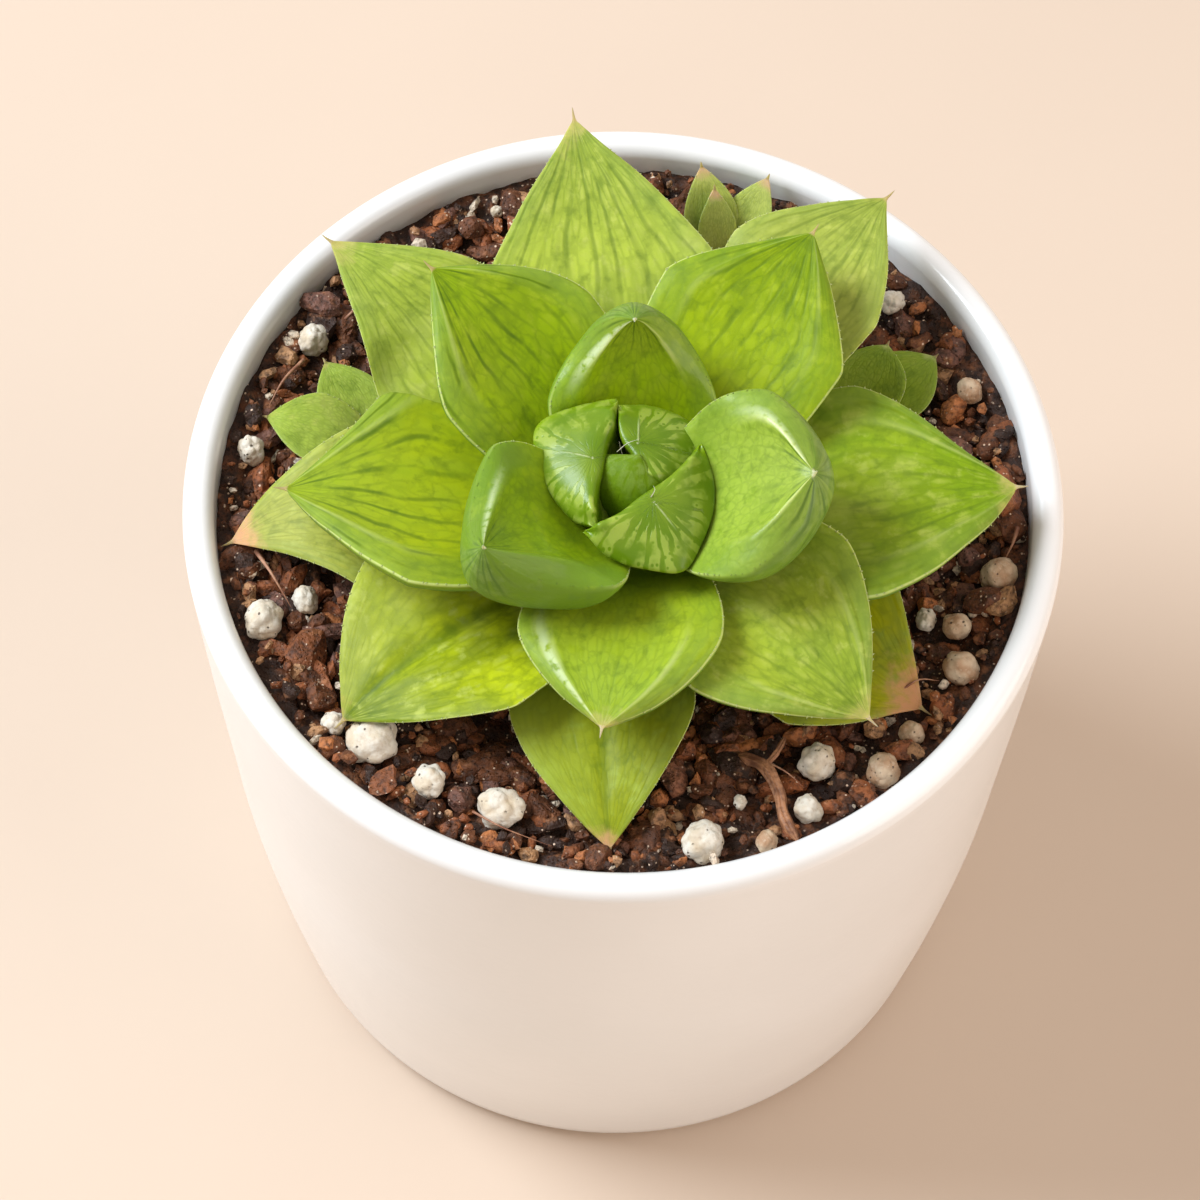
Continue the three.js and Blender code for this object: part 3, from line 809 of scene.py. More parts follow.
def sunk(points, uv, sink):
    """The points lowered, most at the margins and not at all on the middle line."""
    place, around = np.array(uv).T
    across = np.cos(TURN * around)
    rows = np.arange(LEAF_RINGS) / (LEAF_RINGS - 1) * LAST_RING
    side = [np.interp(place, rows, sink[:, k]) for k in (0, 1)]
    drop = np.where(across > 0, side[0], side[1]) * np.abs(across) ** SINK_BEND
    return points - drop[:, None] * (0, 0, 1)


print("a margin may sink by", MOST_SINK, "mm")

# %% [markdown]
# Fine soft teeth stand along both margins and catch the light. Each is a small four-sided
# spike that leans towards the leaf's tip, with its base closed inside the leaf. Particles
# could scatter them, but each would then be a separate object and miss the margin's curve.

# %% Teeth
TOOTH_SPACING = 0.9
TOOTH_HALF = 0.16
TOOTH_ROOT = 0.12
TOOTH_HEIGHT = 0.07
TOOTH_U = 0.88


def margin_teeth(form, draw):
    """Fine soft teeth along both margins: their points, faces and (u, v)."""
    points, faces, uv = [], [], []
    count = int(form["length"] * 0.75 / TOOTH_SPACING)
    place = 0.16 + 0.76 * (np.arange(count) + 0.5) / count
    place = np.clip(place + np.array([draw.uniform(-0.4, 0.4) for _ in place]) / count, 0, 0.95)
    line, tangent, side, up = middle_line(form, np.concatenate([[0], place]))
    half = half_width(form, place)
    for sign in (1, -1):
        for i in range(count):
            size = form["teeth"] * draw.uniform(0.4, 1.0)
            shape = section_form(form, place[i], half[i])
            lift = shape["cup"] * half[i] - shape["rounding"] - shape["soft"]
            reach = half[i] * (1 + shape["wing"]) if sign < 0 else half[i]
            edge = line[i + 1] + side[i + 1] * sign * reach + up[i + 1] * lift
            ahead, out, high = tangent[i + 1], side[i + 1] * sign, up[i + 1]
            inside = edge - out * TOOTH_ROOT
            tip = edge + out * size * 0.85 + ahead * size * 0.6 + high * size * 0.1
            base = len(points)
            points += [inside - ahead * TOOTH_HALF, inside + high * TOOTH_HEIGHT]
            points += [inside + ahead * TOOTH_HALF, inside - high * TOOTH_HEIGHT, tip]
            order = list(range(4))[::sign]
            for k in range(4):
                faces.append((base + order[k], base + order[(k + 1) % 4], base + 4))
            faces.append(tuple(base + k for k in order[::-1]))
            uv += [(min(place[i], TOOTH_U), 0.0 if sign > 0 else 0.5)] * 5
    return points, faces, uv


print("teeth on a margin of 40 mm:", int(40 * 0.75 / TOOTH_SPACING))

# %% [markdown]
# One function grows a leaf from its numbers: rings, unevenness, pressed margins, ends and
# teeth, all in one mesh that takes the place of the solid leaf.

# %% Growing a leaf
def grow_leaf(name, form, material, above=()):
    """One leaf, with its fine point and the teeth of its margins, under those above it."""
    rings, uv = leaf_points(form)
    count = len(rings)
    points = wrinkled(rings.reshape(-1, 3), form["seed"], form["uneven"])
    sink = np.zeros((LEAF_RINGS, 2))
    if above:
        sink = margin_sink(points.reshape(count, LEAF_SPOKES, 3), above)
    points = sunk(points, uv, sink)
    points = np.concatenate([points, [rings[0].mean(0), rings[-1].mean(0)]])
    faces = closed_skin(count, LEAF_SPOKES)
    uv = uv + [(0.0, 0.75), (LAST_RING + MUCRO_UV, 0.25)]
    teeth, teeth_faces, teeth_uv = margin_teeth(form, random.Random(name))
    teeth = sunk(wrinkled(teeth, form["seed"], form["uneven"]), teeth_uv, sink)
    faces += [tuple(v + len(points) for v in face) for face in teeth_faces]
    points = np.concatenate([points, teeth])
    return make_piece(name + "_skin", points, faces, material, [name], uv + teeth_uv)


print("a leaf can be grown from", len(leaf_defaults()), "shared numbers and its own")

# %% [markdown]
# ## The rosette's leaves
#
# Sixteen leaves grow from the stem in three tiers, besides those of the heart. The upper ones
# stand and curl in, the middle ones open out, and the lowest lie over the soil and are thin,
# pale and a little dry at their tips. The numbers below are each leaf's own: turn is the
# compass direction, rise the steepness at base and tip, seat the height above the lip.

# %% Forms of the rosette's leaves
UPPER = dict(thickness=7, bulge=0.12, base_width=0.45, cup=0.5, rounding=0.3, uneven=0.3,
             fill=1.6, soft=2.4, ridge=0.3, base_cup=0.6, mucro=0.7, teeth=0.2, slim=1.1)
MIDDLE = dict(thickness=4.5, bulge=0.07, base_width=0.35, rounding=0.3, uneven=0.3,
              soft=0.7, ridge=0.1)
LOWER = dict(thickness=3.2, bulge=0.03, base_width=0.35, rounding=0.22, uneven=0.35, teeth=0.2)

UPPER_LEAVES = [
    dict(turn=93.5, seat=5, length=25.5, width=18.5, rise=(41.5, 128), bow=3.15, roll=6,
         sweep=-6.5, widest=0.45, taper=1.45, cup=0.26, thickness=4.3, fill=1.4, soft=1.6),
    dict(turn=-8.5, seat=9, length=23.5, width=21.5, rise=(38, 60), bow=4, roll=16, sweep=-9,
         widest=0.62, taper=2.2),
    dict(turn=215, seat=9, length=24.5, width=21, rise=(33.5, 66), bow=3.9, roll=-7,
         sweep=19, widest=0.49, taper=1.2),
]
MIDDLE_LEAVES = [
    dict(turn=269, seat=0.5, length=31, width=22.5, rise=(55, -10.5), bow=1.05, roll=5.5,
         sweep=-7.5, widest=0.59, taper=1.7, cup=0.17, soft=1.3, ridge=0.2),
    dict(turn=121.5, seat=0.5, length=36, width=23, rise=(37, 16), bow=1.35, roll=4.5,
         sweep=25, widest=0.61, taper=1.6, cup=0.14),
    dict(turn=60, seat=0.5, length=38, width=23.5, rise=(46, 14.5), bow=0.6, roll=3,
         sweep=-4.5, widest=0.68, taper=1.3, cup=0.13),
    dict(turn=178.5, seat=-1, length=38.5, width=32, rise=(43.5, -12.5), bow=0.9, roll=15.5,
         widest=0.62, taper=1.15, cup=0.2, wing=0.3),
    dict(turn=316, seat=-0.5, length=37, width=24.5, rise=(51, -27), bow=1, roll=6, sweep=3,
         widest=0.58, taper=1.45, cup=0.27),
    dict(turn=3, seat=-2.5, length=44, width=29.5, rise=(48, -19.5), bow=0.9, roll=-9,
         sweep=7.5, widest=0.6, taper=1.4, cup=0.15, crease=0.3),
]
LOWER_LEAVES = [
    dict(turn=96.5, seat=-4, length=50.5, width=28, rise=(34, 5.5), bow=0.6, roll=-1,
         sweep=6, widest=0.59, taper=1.15, cup=0.09),
    dict(turn=212.5, seat=-4, length=39, width=27, rise=(35, -33), bow=1.35, roll=6,
         sweep=10, widest=0.6, taper=1.45, cup=0.14, crease=0.9),
    dict(turn=62, seat=-4, length=50.5, width=20.5, rise=(40, -7.5), bow=0.95, sweep=-13,
         widest=0.7, taper=1.3, cup=0.11),
    dict(turn=131, seat=-5, length=49.5, width=24, rise=(42, -8.5), bow=0.95, roll=5.5,
         sweep=11.5, widest=0.61, taper=1.15, cup=0.14),
    dict(turn=259, seat=-4.5, length=37, width=21, rise=(29.5, -32.5), bow=1.5, roll=10,
         sweep=19.5, widest=0.57, taper=1.45, cup=0.14, crease=0.5),
    dict(turn=171, seat=-5.5, length=46, width=23.5, rise=(31.5, -38.5), bow=1.75, roll=-7,
         sweep=22, widest=0.56, taper=1.15, cup=0.09),
    dict(turn=332.5, seat=-5, length=36, width=22.5, rise=(22.5, -15.5), bow=1.15, sweep=-5,
         widest=0.68, taper=1.25, cup=0.11),
]
print("leaves in each tier:", [len(t) for t in (UPPER_LEAVES, MIDDLE_LEAVES, LOWER_LEAVES)])

# %% [markdown]
# The finishes differ a little from leaf to leaf, because a plant of one even green looks
# moulded. The oldest leaves are creamy and end in a pink or orange dry tip, and the youngest
# are a fuller green with a painted sheen on one shoulder.

# %% Looks of the rosette's leaves
LIME = (0.37, 0.47, 0.020)
BRIGHT = (0.29, 0.40, 0.008)
GRASS = (0.17, 0.28, 0.012)
CREAM = (0.55, 0.60, 0.13)
PALE = (0.36, 0.45, 0.055)
SAGE = (0.24, 0.34, 0.05)
YELLOW_TIP = (0.50, 0.45, 0.14)
PINK_TIP = (0.66, 0.36, 0.18)
ORANGE_TIP = (0.66, 0.33, 0.16)
HORN = (0.62, 0.50, 0.28)

# In the looks, ridge and sheen set painted highlights, and shade and groove set painted shade.
TIER_LOOKS = {
    "upper_leaf": dict(coat=0.2, gloss=0.16, roughness=0.32, reach=0.62, crest=0.5, ridge=0.8,
                       edge_fade=(0.6, 0.3), mucro=(0.60, 0.62, 0.36), back_veins=0.5),
    "middle_leaf": dict(crest=0.3),
    "lower_leaf": {},
}
LOOKS = {
    "upper_leaf": [
        dict(base=BRIGHT, middle=(0.31, 0.46, 0.003), outer=(0.28, 0.38, 0.02), veins=0.9,
             sheen=0.75),
        dict(base=GRASS, middle=(0.33, 0.45, 0.05), outer=(0.32, 0.43, 0.05), veins=0.8,
             sheen=0.5),
        dict(base=BRIGHT, middle=(0.21, 0.34, 0.004), outer=(0.15, 0.25, 0.010), veins=0.8,
             sheen=-0.5, shade=1.0, ridge=0.15, crest=1.0, coat=0.12),
    ],
    "middle_leaf": [
        dict(base=BRIGHT, middle=LIME, outer=(0.28, 0.40, 0.03), tip=YELLOW_TIP, veins=0.15,
             haze=0.3, mucro=HORN, ridge=0.5, sheen=-0.6),
        dict(base=LIME, middle=(0.33, 0.47, 0.003), outer=(0.22, 0.33, 0.005), veins=0.65,
             haze=0.45),
        dict(base=LIME, middle=(0.33, 0.44, 0.003), outer=(0.18, 0.28, 0.002), veins=0.45,
             haze=0.1),
        dict(base=BRIGHT, middle=(0.38, 0.46, 0.006), outer=(0.27, 0.36, 0.02), veins=0.65,
             haze=0.4),
        dict(base=CREAM, middle=(0.40, 0.49, 0.04), outer=(0.25, 0.35, 0.03), tip=YELLOW_TIP,
             veins=0.25, haze=0.5, mucro=HORN),
        dict(base=(0.45, 0.52, 0.09), middle=(0.28, 0.38, 0.015), outer=(0.20, 0.33, 0.006),
             tip=YELLOW_TIP, veins=0.3, mucro=HORN),
    ],
    "lower_leaf": [
        dict(base=CREAM, middle=(0.50, 0.60, 0.07), outer=(0.25, 0.33, 0.04), veins=0.45,
             tip=YELLOW_TIP),
        dict(base=CREAM, middle=(0.55, 0.62, 0.01), outer=(0.15, 0.21, 0.004), veins=0.2,
             haze=0.1, tip=PINK_TIP, dry=-0.05, groove=0.45),
        dict(base=CREAM, middle=(0.48, 0.52, 0.09), outer=(0.31, 0.39, 0.06), veins=0.35,
             tip=YELLOW_TIP, dry=-0.05),
        dict(base=CREAM, middle=(0.49, 0.58, 0.06), outer=(0.29, 0.38, 0.05), veins=0.3,
             tip=YELLOW_TIP),
        dict(base=PALE, middle=(0.29, 0.33, 0.008), outer=(0.27, 0.32, 0.010), veins=0.1,
             tip=PINK_TIP, dry=-0.01, groove=0.3),
        dict(base=CREAM, middle=(0.46, 0.48, 0.07), outer=(0.37, 0.39, 0.06), veins=0.1,
             tip=PINK_TIP, dry=0.02),
        dict(base=SAGE, middle=(0.46, 0.52, 0.002), outer=(0.40, 0.38, 0.003), veins=0.1,
             tip=ORANGE_TIP, dry=0.05),
    ],
}
print("looks:", {tier: len(looks) for tier, looks in LOOKS.items()})

# %% [markdown]
# The tiers are grown from the top down, so that each leaf knows the ones that rest on it.
# Those are kept as trees of faces in which a ray finds its target fast. The upper leaves
# stand free of the others and press on none.

# %% Growing the rosette
def face_tree(piece):
    """A piece's faces as a tree for rays, in millimetres."""
    points = [vertex.co / MM for vertex in piece.data.vertices]
    return BVHTree.FromPolygons(points, [face.vertices[:] for face in piece.data.polygons])


def grow_rosette():
    """All the leaves of the three tiers, from the top down."""
    tiers = {"upper_leaf": (UPPER, UPPER_LEAVES), "middle_leaf": (MIDDLE, MIDDLE_LEAVES),
             "lower_leaf": (LOWER, LOWER_LEAVES)}
    grown, above = [], []
    for tier, (shared, leaves) in tiers.items():
        for i, own in enumerate(leaves):
            name = f"{tier}_{i + 1}"
            form = leaf_defaults(**{**shared, "seed": i + len(tier), **own})
            look = {**TIER_LOOKS[tier], **LOOKS[tier][i], "seed": 1.7 * (i + 1)}
            piece = grow_leaf(name, form, leaf_finish(name, **look), above)
            grown.append(piece)
            if tier != "upper_leaf":
                above.append(face_tree(piece))
    return grown


leaf_pieces = grow_rosette()
print("rosette leaves:", len(leaf_pieces))

# %% [markdown]
# ## The heart
#
# The three youngest full leaves close over the growing point like hoods. A bent wedge can't
# fold that tightly, so each hood is lofted instead. Its outline is drawn by two lines, seen
# from above in millimetres: the shoulder, and the edge of the opening. The fine point of the
# leaf has moved in from the edge, and a painted highlight line with a little relief leads to it.

# %% Lines of the hoods
HOOD = dict(base=9, shoulder=14.5, edge=17.5, ends=16, dome=0.9, inner=1.3, outer=2.4, swell=0.8)
# Each hood's last number is the direction, in turns round its point, of a painted highlight
# line.
HOODS = [
    dict(
        shoulder=[(-1, 4.2), (-5, 4.3), (-9.7, 1.8), (-10, -2.5), (-8.4, -6.8), (-6, -10),
                  (-3.2, -12)],
        edge=[(-0.8, 3.8), (-1.3, 0.6), (-2.2, -1.5), (-2.7, -5), (-3.1, -7.5), (-3.2, -10),
              (-2.8, -11.6)],
        mucro=(-3.6, -4.2), fold=0.44,
    ),
    dict(
        shoulder=[(5.3, -7.4), (7.6, -4), (8.5, -1), (8, 1.6), (5.6, 3.6), (1.9, 4.6),
                  (-1, 3.4)],
        edge=[(5, -7), (2.5, -6), (1.5, -4.3), (0.7, -3), (-0.2, -1.7), (-0.8, 0), (-1, 3)],
        mucro=(1.4, -2.1), fold=0.25,
    ),
    dict(
        shoulder=[(-4.3, -12.7), (-1.7, -14.6), (1.5, -16), (6.7, -16.4), (8.9, -12.5),
                  (10, -8), (9.9, -4.2), (8.4, -1.0)],
        edge=[(-4, -12.3), (-2.3, -12), (-0.2, -10.7), (1.7, -8.9), (3.6, -7.3), (5.2, -5.8),
              (6.7, -3.9), (8.0, -1.2)],
        mucro=(3.3, -9.5), fold=0.87,
    ),
]
print("hoods:", len(HOODS))

# %% [markdown]
# The lines are smoothed by a curve that passes through every point, unlike a Bezier, whose
# handles would have to be set by hand. The same curve closes each profile of a hood, which
# goes from the stem up over the shoulder to the edge of the opening and back down.

# %% Profile of a hood
HOOD_AROUND = 84


def through(points, count, closed=False):
    """A smooth line of count points through the given ones."""
    points = np.asarray(points, float)
    total = len(points)
    if closed:
        wrap = np.concatenate([points[-1:], points, points[:2]])
        where = np.arange(count) / count * total
    else:
        first = 2 * points[0] - points[1]
        last = 2 * points[-1] - points[-2]
        wrap = np.concatenate([[first], points, [last]])
        where = np.linspace(0, total - 1, count)
    segment = np.minimum(where.astype(int), (total if closed else total - 1) - 1)
    t = (where - segment)[:, None]
    a, b, c, d = (wrap[segment + k] for k in range(4))
    return 0.5 * (2 * b + (c - a) * t + (2 * a - 5 * b + 4 * c - d) * t * t
                  + (3 * b - a - 3 * c + d) * t ** 3)


def hood_profile(shoulder, edge, openness):
    """A closed outline from the stem up over the shoulder to the edge and back down."""
    stem = np.array([CROWN[0], CROWN[1], LIP_HEIGHT + HOOD["base"]])
    rise = HOOD["ends"] + (HOOD["shoulder"] - HOOD["ends"]) * openness
    edge_rise = HOOD["ends"] + (HOOD["edge"] - HOOD["ends"]) * openness
    s = np.array([*shoulder, LIP_HEIGHT + rise])
    e = np.array([*edge, LIP_HEIGHT + edge_rise])
    outward = (s - stem) * (1, 1, 0)
    outward = outward / np.linalg.norm(outward)
    outer, inner = stem + outward * HOOD["outer"], stem + outward * HOOD["inner"]
    top = (s + e) / 2 + (0, 0, HOOD["dome"] * openness)
    wall = outer + (s - outer) * 0.6 + outward * HOOD["swell"]
    lining = inner + (e - inner) * 0.5 + outward * HOOD["swell"]
    return through([inner, lining, e, top, s, wall, outer], HOOD_AROUND, closed=True)


print("a profile's points:", hood_profile((8, 0), (2, 0), 1).shape)

# %% [markdown]
# The tops of these leaves are windows: clear dark skin where light enters, broken by pale
# fingers that run in from the shoulder towards the fine point. All of it is drawn round that
# point, so this UV map is polar: turns round the point, and millimetres from it.

# %% Window skin
WINDOW_GREENS = (0.12, 0.22, 0.004), (0.18, 0.28, 0.012)
WALL_GREEN = (0.20, 0.32, 0.004)
FINGER_PALE = (0.42, 0.51, 0.09)
FOLD_HIGHLIGHT_PALE = (0.60, 0.68, 0.32)
POINT_PALE = (0.5, 0.55, 0.3)
FINGERS = 23
UV_MM = 10


def window_finish(name, seed, fold):
    """A hood's skin. A painted highlight line runs to the point from the given direction, in
    turns.
    """
    finish = Finish(name)
    turns, reach, _ = finish.parts(finish.node("UVMap", {"uv_map": "leaf"}))
    away = reach * UV_MM
    here = finish.position()
    slow = finish.noise(here, 3.5)
    fine = finish.noise(here, 0.9)
    x = finish.math("COSINE", turns * TURN)
    y = finish.math("SINE", turns * TURN)
    colour = finish.mix(slow.step(0.35, 0.7), *WINDOW_GREENS)
    colour = finish.mix(away.step(6.5, 9.5), colour, WALL_GREEN)

    # Fingers: bands in lanes round the point, broken into islands.
    bend = finish.noise(finish.vector(x * 4 + seed, y * 4, away * 0.3), 1.0, 3)
    lane = turns * FINGERS + bend * 1.6 + seed
    lane_offset = abs(finish.math("FRACT", lane) - 0.5) * 2
    reach_in = away.step(1.2, 5.5) * 0.75 + (slow - 0.5) * 0.5
    finger = 1 - lane_offset.step(reach_in - 0.2, reach_in + 0.08)
    islands = finish.cells(finish.vector(x * away, y * away, seed), 0.85).step(0.16, 0.3)
    patch = finish.noise(here, 2.8).step(0.38, 0.54)
    finger = finger * islands * patch * away.step(9.5, 7.8) * away.step(1.6, 3.0)
    colour = finish.mix(finger * 0.55, colour, FINGER_PALE)

    # Dark rays close round the point, a painted highlight line that leads to it, and the point.
    ray = lane_offset.step(0.75, 1.0) * away.step(3.4, 0.6) * 0.4
    colour = finish.mix(ray, colour, VEIN_GREEN)
    # Painted highlight: a pale line where a fold would catch the light, with a little relief.
    fold_line = (abs(turns - fold) * TURN * away).step(0.18, 0.03)
    fold_line = fold_line * away.step(4.4, 1.8) * away.step(0.1, 0.5) * fine.step(0.3, 0.5)
    colour = finish.mix(fold_line * 0.55, colour, FOLD_HIGHLIGHT_PALE)
    colour = finish.mix(away.step(0.24, 0.1), colour, POINT_PALE)
    height = finger * 0.4 + fine * 0.4 - ray + fold_line * 1.2
    return finish.surface(
        colour, slow * 0.12 + 0.26, finish.relief(height, 0.07), Subsurface_Weight=0.25,
        **LEAF_SUBSURFACE, Specular_IOR_Level=0.3, Coat_Weight=0.14, Coat_Roughness=0.18,
    )


print("fingers round a point:", FINGERS)

# %% [markdown]
# Each hood is swept from one margin to the other. Its profile opens out fast from a low end,
# stays open over the crown and closes again.

# %% Hoods
HOOD_STATIONS = 90
HOOD_UNEVEN = 0.25
OPENING_RATE = 7


def grow_hood(number, hood, material):
    """One of the heart's closed leaves, lofted between its two lines."""
    shoulder = through(hood["shoulder"], HOOD_STATIONS)
    edge = through(hood["edge"], HOOD_STATIONS)
    share = np.linspace(0, 1, HOOD_STATIONS)
    openness = smooth(np.minimum(share, 1 - share) * OPENING_RATE, 0, 1)
    rings = [hood_profile(s, e, o) for s, e, o in zip(shoulder, edge, openness)]
    points = np.concatenate([*rings, [rings[0].mean(0), rings[-1].mean(0)]])
    points = wrinkled(points, number, HOOD_UNEVEN)
    flat = points - np.array([*hood["mucro"], LIP_HEIGHT + HOOD["edge"] + 0.2])
    turns = np.arctan2(flat[:, 1], flat[:, 0]) / TURN % 1
    away = np.linalg.norm(flat * (1, 1, 0.8), axis=1) / UV_MM
    faces = closed_skin(HOOD_STATIONS, HOOD_AROUND)
    name = f"heart_leaf_{number}"
    uv = np.stack([turns, away], -1)
    return make_piece(name + "_skin", points, faces, material, [name], uv)


hood_pieces = [
    grow_hood(i + 1, hood, window_finish(f"heart_leaf_{i + 1}", 1.3 + i, hood["fold"]))
    for i, hood in enumerate(HOODS)
]
print("hood faces:", [len(piece.data.polygons) for piece in hood_pieces])

# %% [markdown]
# Two small leaves stand in the opening between the hoods. They are grown like any other leaf
# and kept darker, since little light reaches them.

# %% Innermost leaves
INNERMOST = dict(
    thickness=1.6, cup=0.4, bulge=0.05, base_width=0.7, widest=0.55, taper=2.2, bow=1.5,
    start=0.8, rounding=0.1, uneven=0.05, teeth=0.12, mucro=0.1,
)
INNERMOST_LEAVES = [
    dict(turn=243, length=13, width=14, rise=(60, 165), seat=7.0),
    dict(turn=105, length=6.5, width=6.5, rise=(76, 94), seat=9.5),
]
inner_finish = leaf_finish(
    "innermost_leaf", (0.12, 0.21, 0.002), (0.15, 0.25, 0.002), (0.15, 0.25, 0.003),
    mucro=(0.15, 0.25, 0.02), veins=0.1, net=0.0, back_veins=0.0, gloss=0.1, roughness=0.5,
    back=(0.12, 0.21, 0.003),
)
for i, own in enumerate(INNERMOST_LEAVES):
    form = leaf_defaults(**{**INNERMOST, "seed": i, **own})
    leaf_pieces.append(grow_leaf(f"innermost_leaf_{i + 1}", form, inner_finish))
print("heart leaves:", len(hood_pieces) + len(INNERMOST_LEAVES))

# %% [markdown]
# ## Threads
#
# Dry hairs in the heart, fibres on the soil and the twig are all round bodies drawn along a
# line. Two directions square to the line are found at each point, and a ring is set out on
# them. A curve with a bevel would give the same body, but not its tapering and grooves.

# %% Threads
THREAD_POINTS = 10
THREAD_SPOKES = 6
THREAD_TAPER = 0.85
THREAD_LEAN = (0.3, 0.2, 1)


def square_to(line, lean):
    """At each point of a line: its number, the point, and two directions square to it."""
    for i, centre in enumerate(line):
        ahead = line[min(i + 1, len(line) - 1)] - line[max(i - 1, 0)]
        ahead = ahead / np.linalg.norm(ahead)
        side = np.cross(ahead, lean)
        side = side / np.linalg.norm(side)
        yield i, centre, side, np.cross(ahead, side)


def thread(points, radius):
    """A fine tapering thread along the points: its points and faces."""
    line = through(points, THREAD_POINTS)
    angle = TURN * np.arange(THREAD_SPOKES) / THREAD_SPOKES
    rings = []
    for i, centre, side, up in square_to(line, THREAD_LEAN):
        thick = radius * (1 - THREAD_TAPER * i / (len(line) - 1))
        rings.append(set_out(centre, side, up, np.cos(angle) * thick, np.sin(angle) * thick))
    points = np.concatenate([*rings, [line[0], line[-1]]])
    return points, closed_skin(THREAD_POINTS, THREAD_SPOKES)


def joined(bodies):
    """Several bodies' points and faces as one body's."""
    points, faces, total = [], [], 0
    for own, own_faces in bodies:
        faces += [tuple(v + total for v in face) for face in own_faces]
        points.append(own)
        total += len(own)
    return np.concatenate(points), faces


def lay_threads(name, routes, radii, material):
    """Threads joined into one piece."""
    points, faces = joined(thread(route, radius) for route, radius in zip(routes, radii))
    return make_piece(name, points, faces, material)


print("points on a thread:", THREAD_POINTS * THREAD_SPOKES + 2)

# %% [markdown]
# The withered tips of the youngest leaves stay behind as a few pale hairs. They are about a
# tenth of a millimetre thick, and still show, because they are nearly white against green.

# %% Dry hairs
HAIR_TOP = LIP_HEIGHT + HOOD["edge"]
HAIR_RADIUS = 0.06
HAIRS = [
    [(-0.9, -2.9, -0.6), (0.2, -2.4, 0.5), (1.6, -2.0, 0.9)],
    [(0.2, -3.2, -2.5), (-0.4, -2.6, -1.0), (-0.7, -2.0, 0.2)],
    [(0.4, -3.6, -3.2), (0.5, -4.4, -2.2), (0.1, -5.0, -1.8)],
    [(3.0, -9.0, 0.3), (3.4, -8.4, 0.9), (3.2, -7.9, 0.9)],
]


def straw_finish(name, pale, dark):
    """Dry plant fibre, in patches of two colours."""
    finish = Finish(name)
    here = finish.position()
    slow = finish.noise(here, 2.0, 3)
    fine = finish.noise(here, 0.4, 3)
    colour = finish.mix(slow.step(0.35, 0.65), pale, dark)
    colour = finish.mix(fine.step(0.55, 0.35) * 0.5, colour, dark)
    return finish.surface(colour, fine * 0.2 + 0.45, finish.relief(fine, 0.08))


hair_routes = [[(x, y, HAIR_TOP + z) for x, y, z in route] for route in HAIRS]
hair_finish = straw_finish("dry_hair", (0.75, 0.73, 0.58), (0.55, 0.50, 0.36))
hair_radii = [HAIR_RADIUS] * len(HAIRS)
lay_threads("heart_hairs", hair_routes, hair_radii, hair_finish)
print("hairs:", len(HAIRS))

# %% [markdown]
# ## Young offsets
#
# Three small plants push up through the soil round the old one. Only a few of their leaves
# show. They are the same kind of leaf at a third of the length, so nothing new has to be made.

# %% Young offsets
OFFSET = dict(
    seat=-7, thickness=2.2, cup=0.2, bulge=0.05, widest=0.55, taper=1.7, base_width=0.6, bow=1,
    start=1.2, rounding=0.12, uneven=0.1, teeth=0.12, mucro=0.5,
)
OFFSETS = {
    "back_offset_leaf": ((10.5, 34.5), [
        dict(turn=106, length=13.5, width=6.5, rise=(62, 40)),
        dict(turn=100, length=11.5, width=4.5, rise=(72, 55)),
        dict(turn=58, length=13, width=6, rise=(58, 40)),
    ]),
    "right_offset_leaf": ((25.5, 12.7), [
        dict(turn=66, length=11, width=8.5, rise=(45, 10), seat=-5.6, taper=2.2),
        dict(turn=42, length=13.2, width=8.8, rise=(35, 0), seat=-5.6, taper=2.0),
    ]),
    "left_offset_leaf": ((-28, 7.8), [
        dict(turn=168, length=13.2, width=9, rise=(38, -5), seat=-4.9),
        dict(turn=124, length=12.6, width=8, rise=(42, 5), seat=-6.2),
    ]),
}
offset_finishes = {
    "back_offset_leaf": leaf_finish(
        "back_offset", CREAM, (0.52, 0.60, 0.12), (0.45, 0.50, 0.12), (0.60, 0.40, 0.22),
        dry=0.05, seed=1.0, veins=0.1,
    ),
    "right_offset_leaf": leaf_finish(
        "right_offset", PALE, (0.29, 0.40, 0.03), (0.26, 0.38, 0.04), MARGIN_AND_HIGHLIGHT_PALE,
        seed=2.0, veins=0.1,
    ),
    "left_offset_leaf": leaf_finish(
        "left_offset", CREAM, (0.44, 0.56, 0.08), (0.34, 0.46, 0.06), YELLOW_TIP,
        seed=3.0, veins=0.1,
    ),
}
for name, (centre, leaves) in OFFSETS.items():
    for i, own in enumerate(leaves):
        form = leaf_defaults(**{**OFFSET, "seed": i + centre[0], "centre": centre, **own})
        piece = grow_leaf(f"{name}_{i + 1}", form, offset_finishes[name])
        leaf_pieces.append(piece)
print("leaves in all:", len(leaf_pieces) + len(hood_pieces))

# %% [markdown]
# ## Pot
#
# The pot is glazed ceramic, thrown or cast round: a rim like a half-round bead, walls that
# draw in towards a small turned foot, and a drain hole. A round thing is a profile turned
# about its axis. The profile is one closed loop of radius and height, from the foot up the
# outside, over the lip, down the inside and out through the drain.

# %% Pot profile
POT_OUTER = [(3, 41.7), (17.5, 44), (35, 46.2), (53, 47.6), (70.5, 48.9), (88.2, 50)]
LIP_RADIUS = 1.8
WALL = 2 * LIP_RADIUS
FLOOR_TOP = 7
CORNER_TOP = 13
CORNER_RADIUS = CORNER_TOP - FLOOR_TOP
FOOT_OUTER, FOOT_INNER = 39, 33
FOOT_RECESS = 2
DRAIN_RADIUS = 4.5
POT_RADIUS = POT_OUTER[-1][1]


def outer_radius(height):
    """The pot's outside radius at a height."""
    heights, radii = zip(*POT_OUTER)
    return np.interp(height, heights, radii)


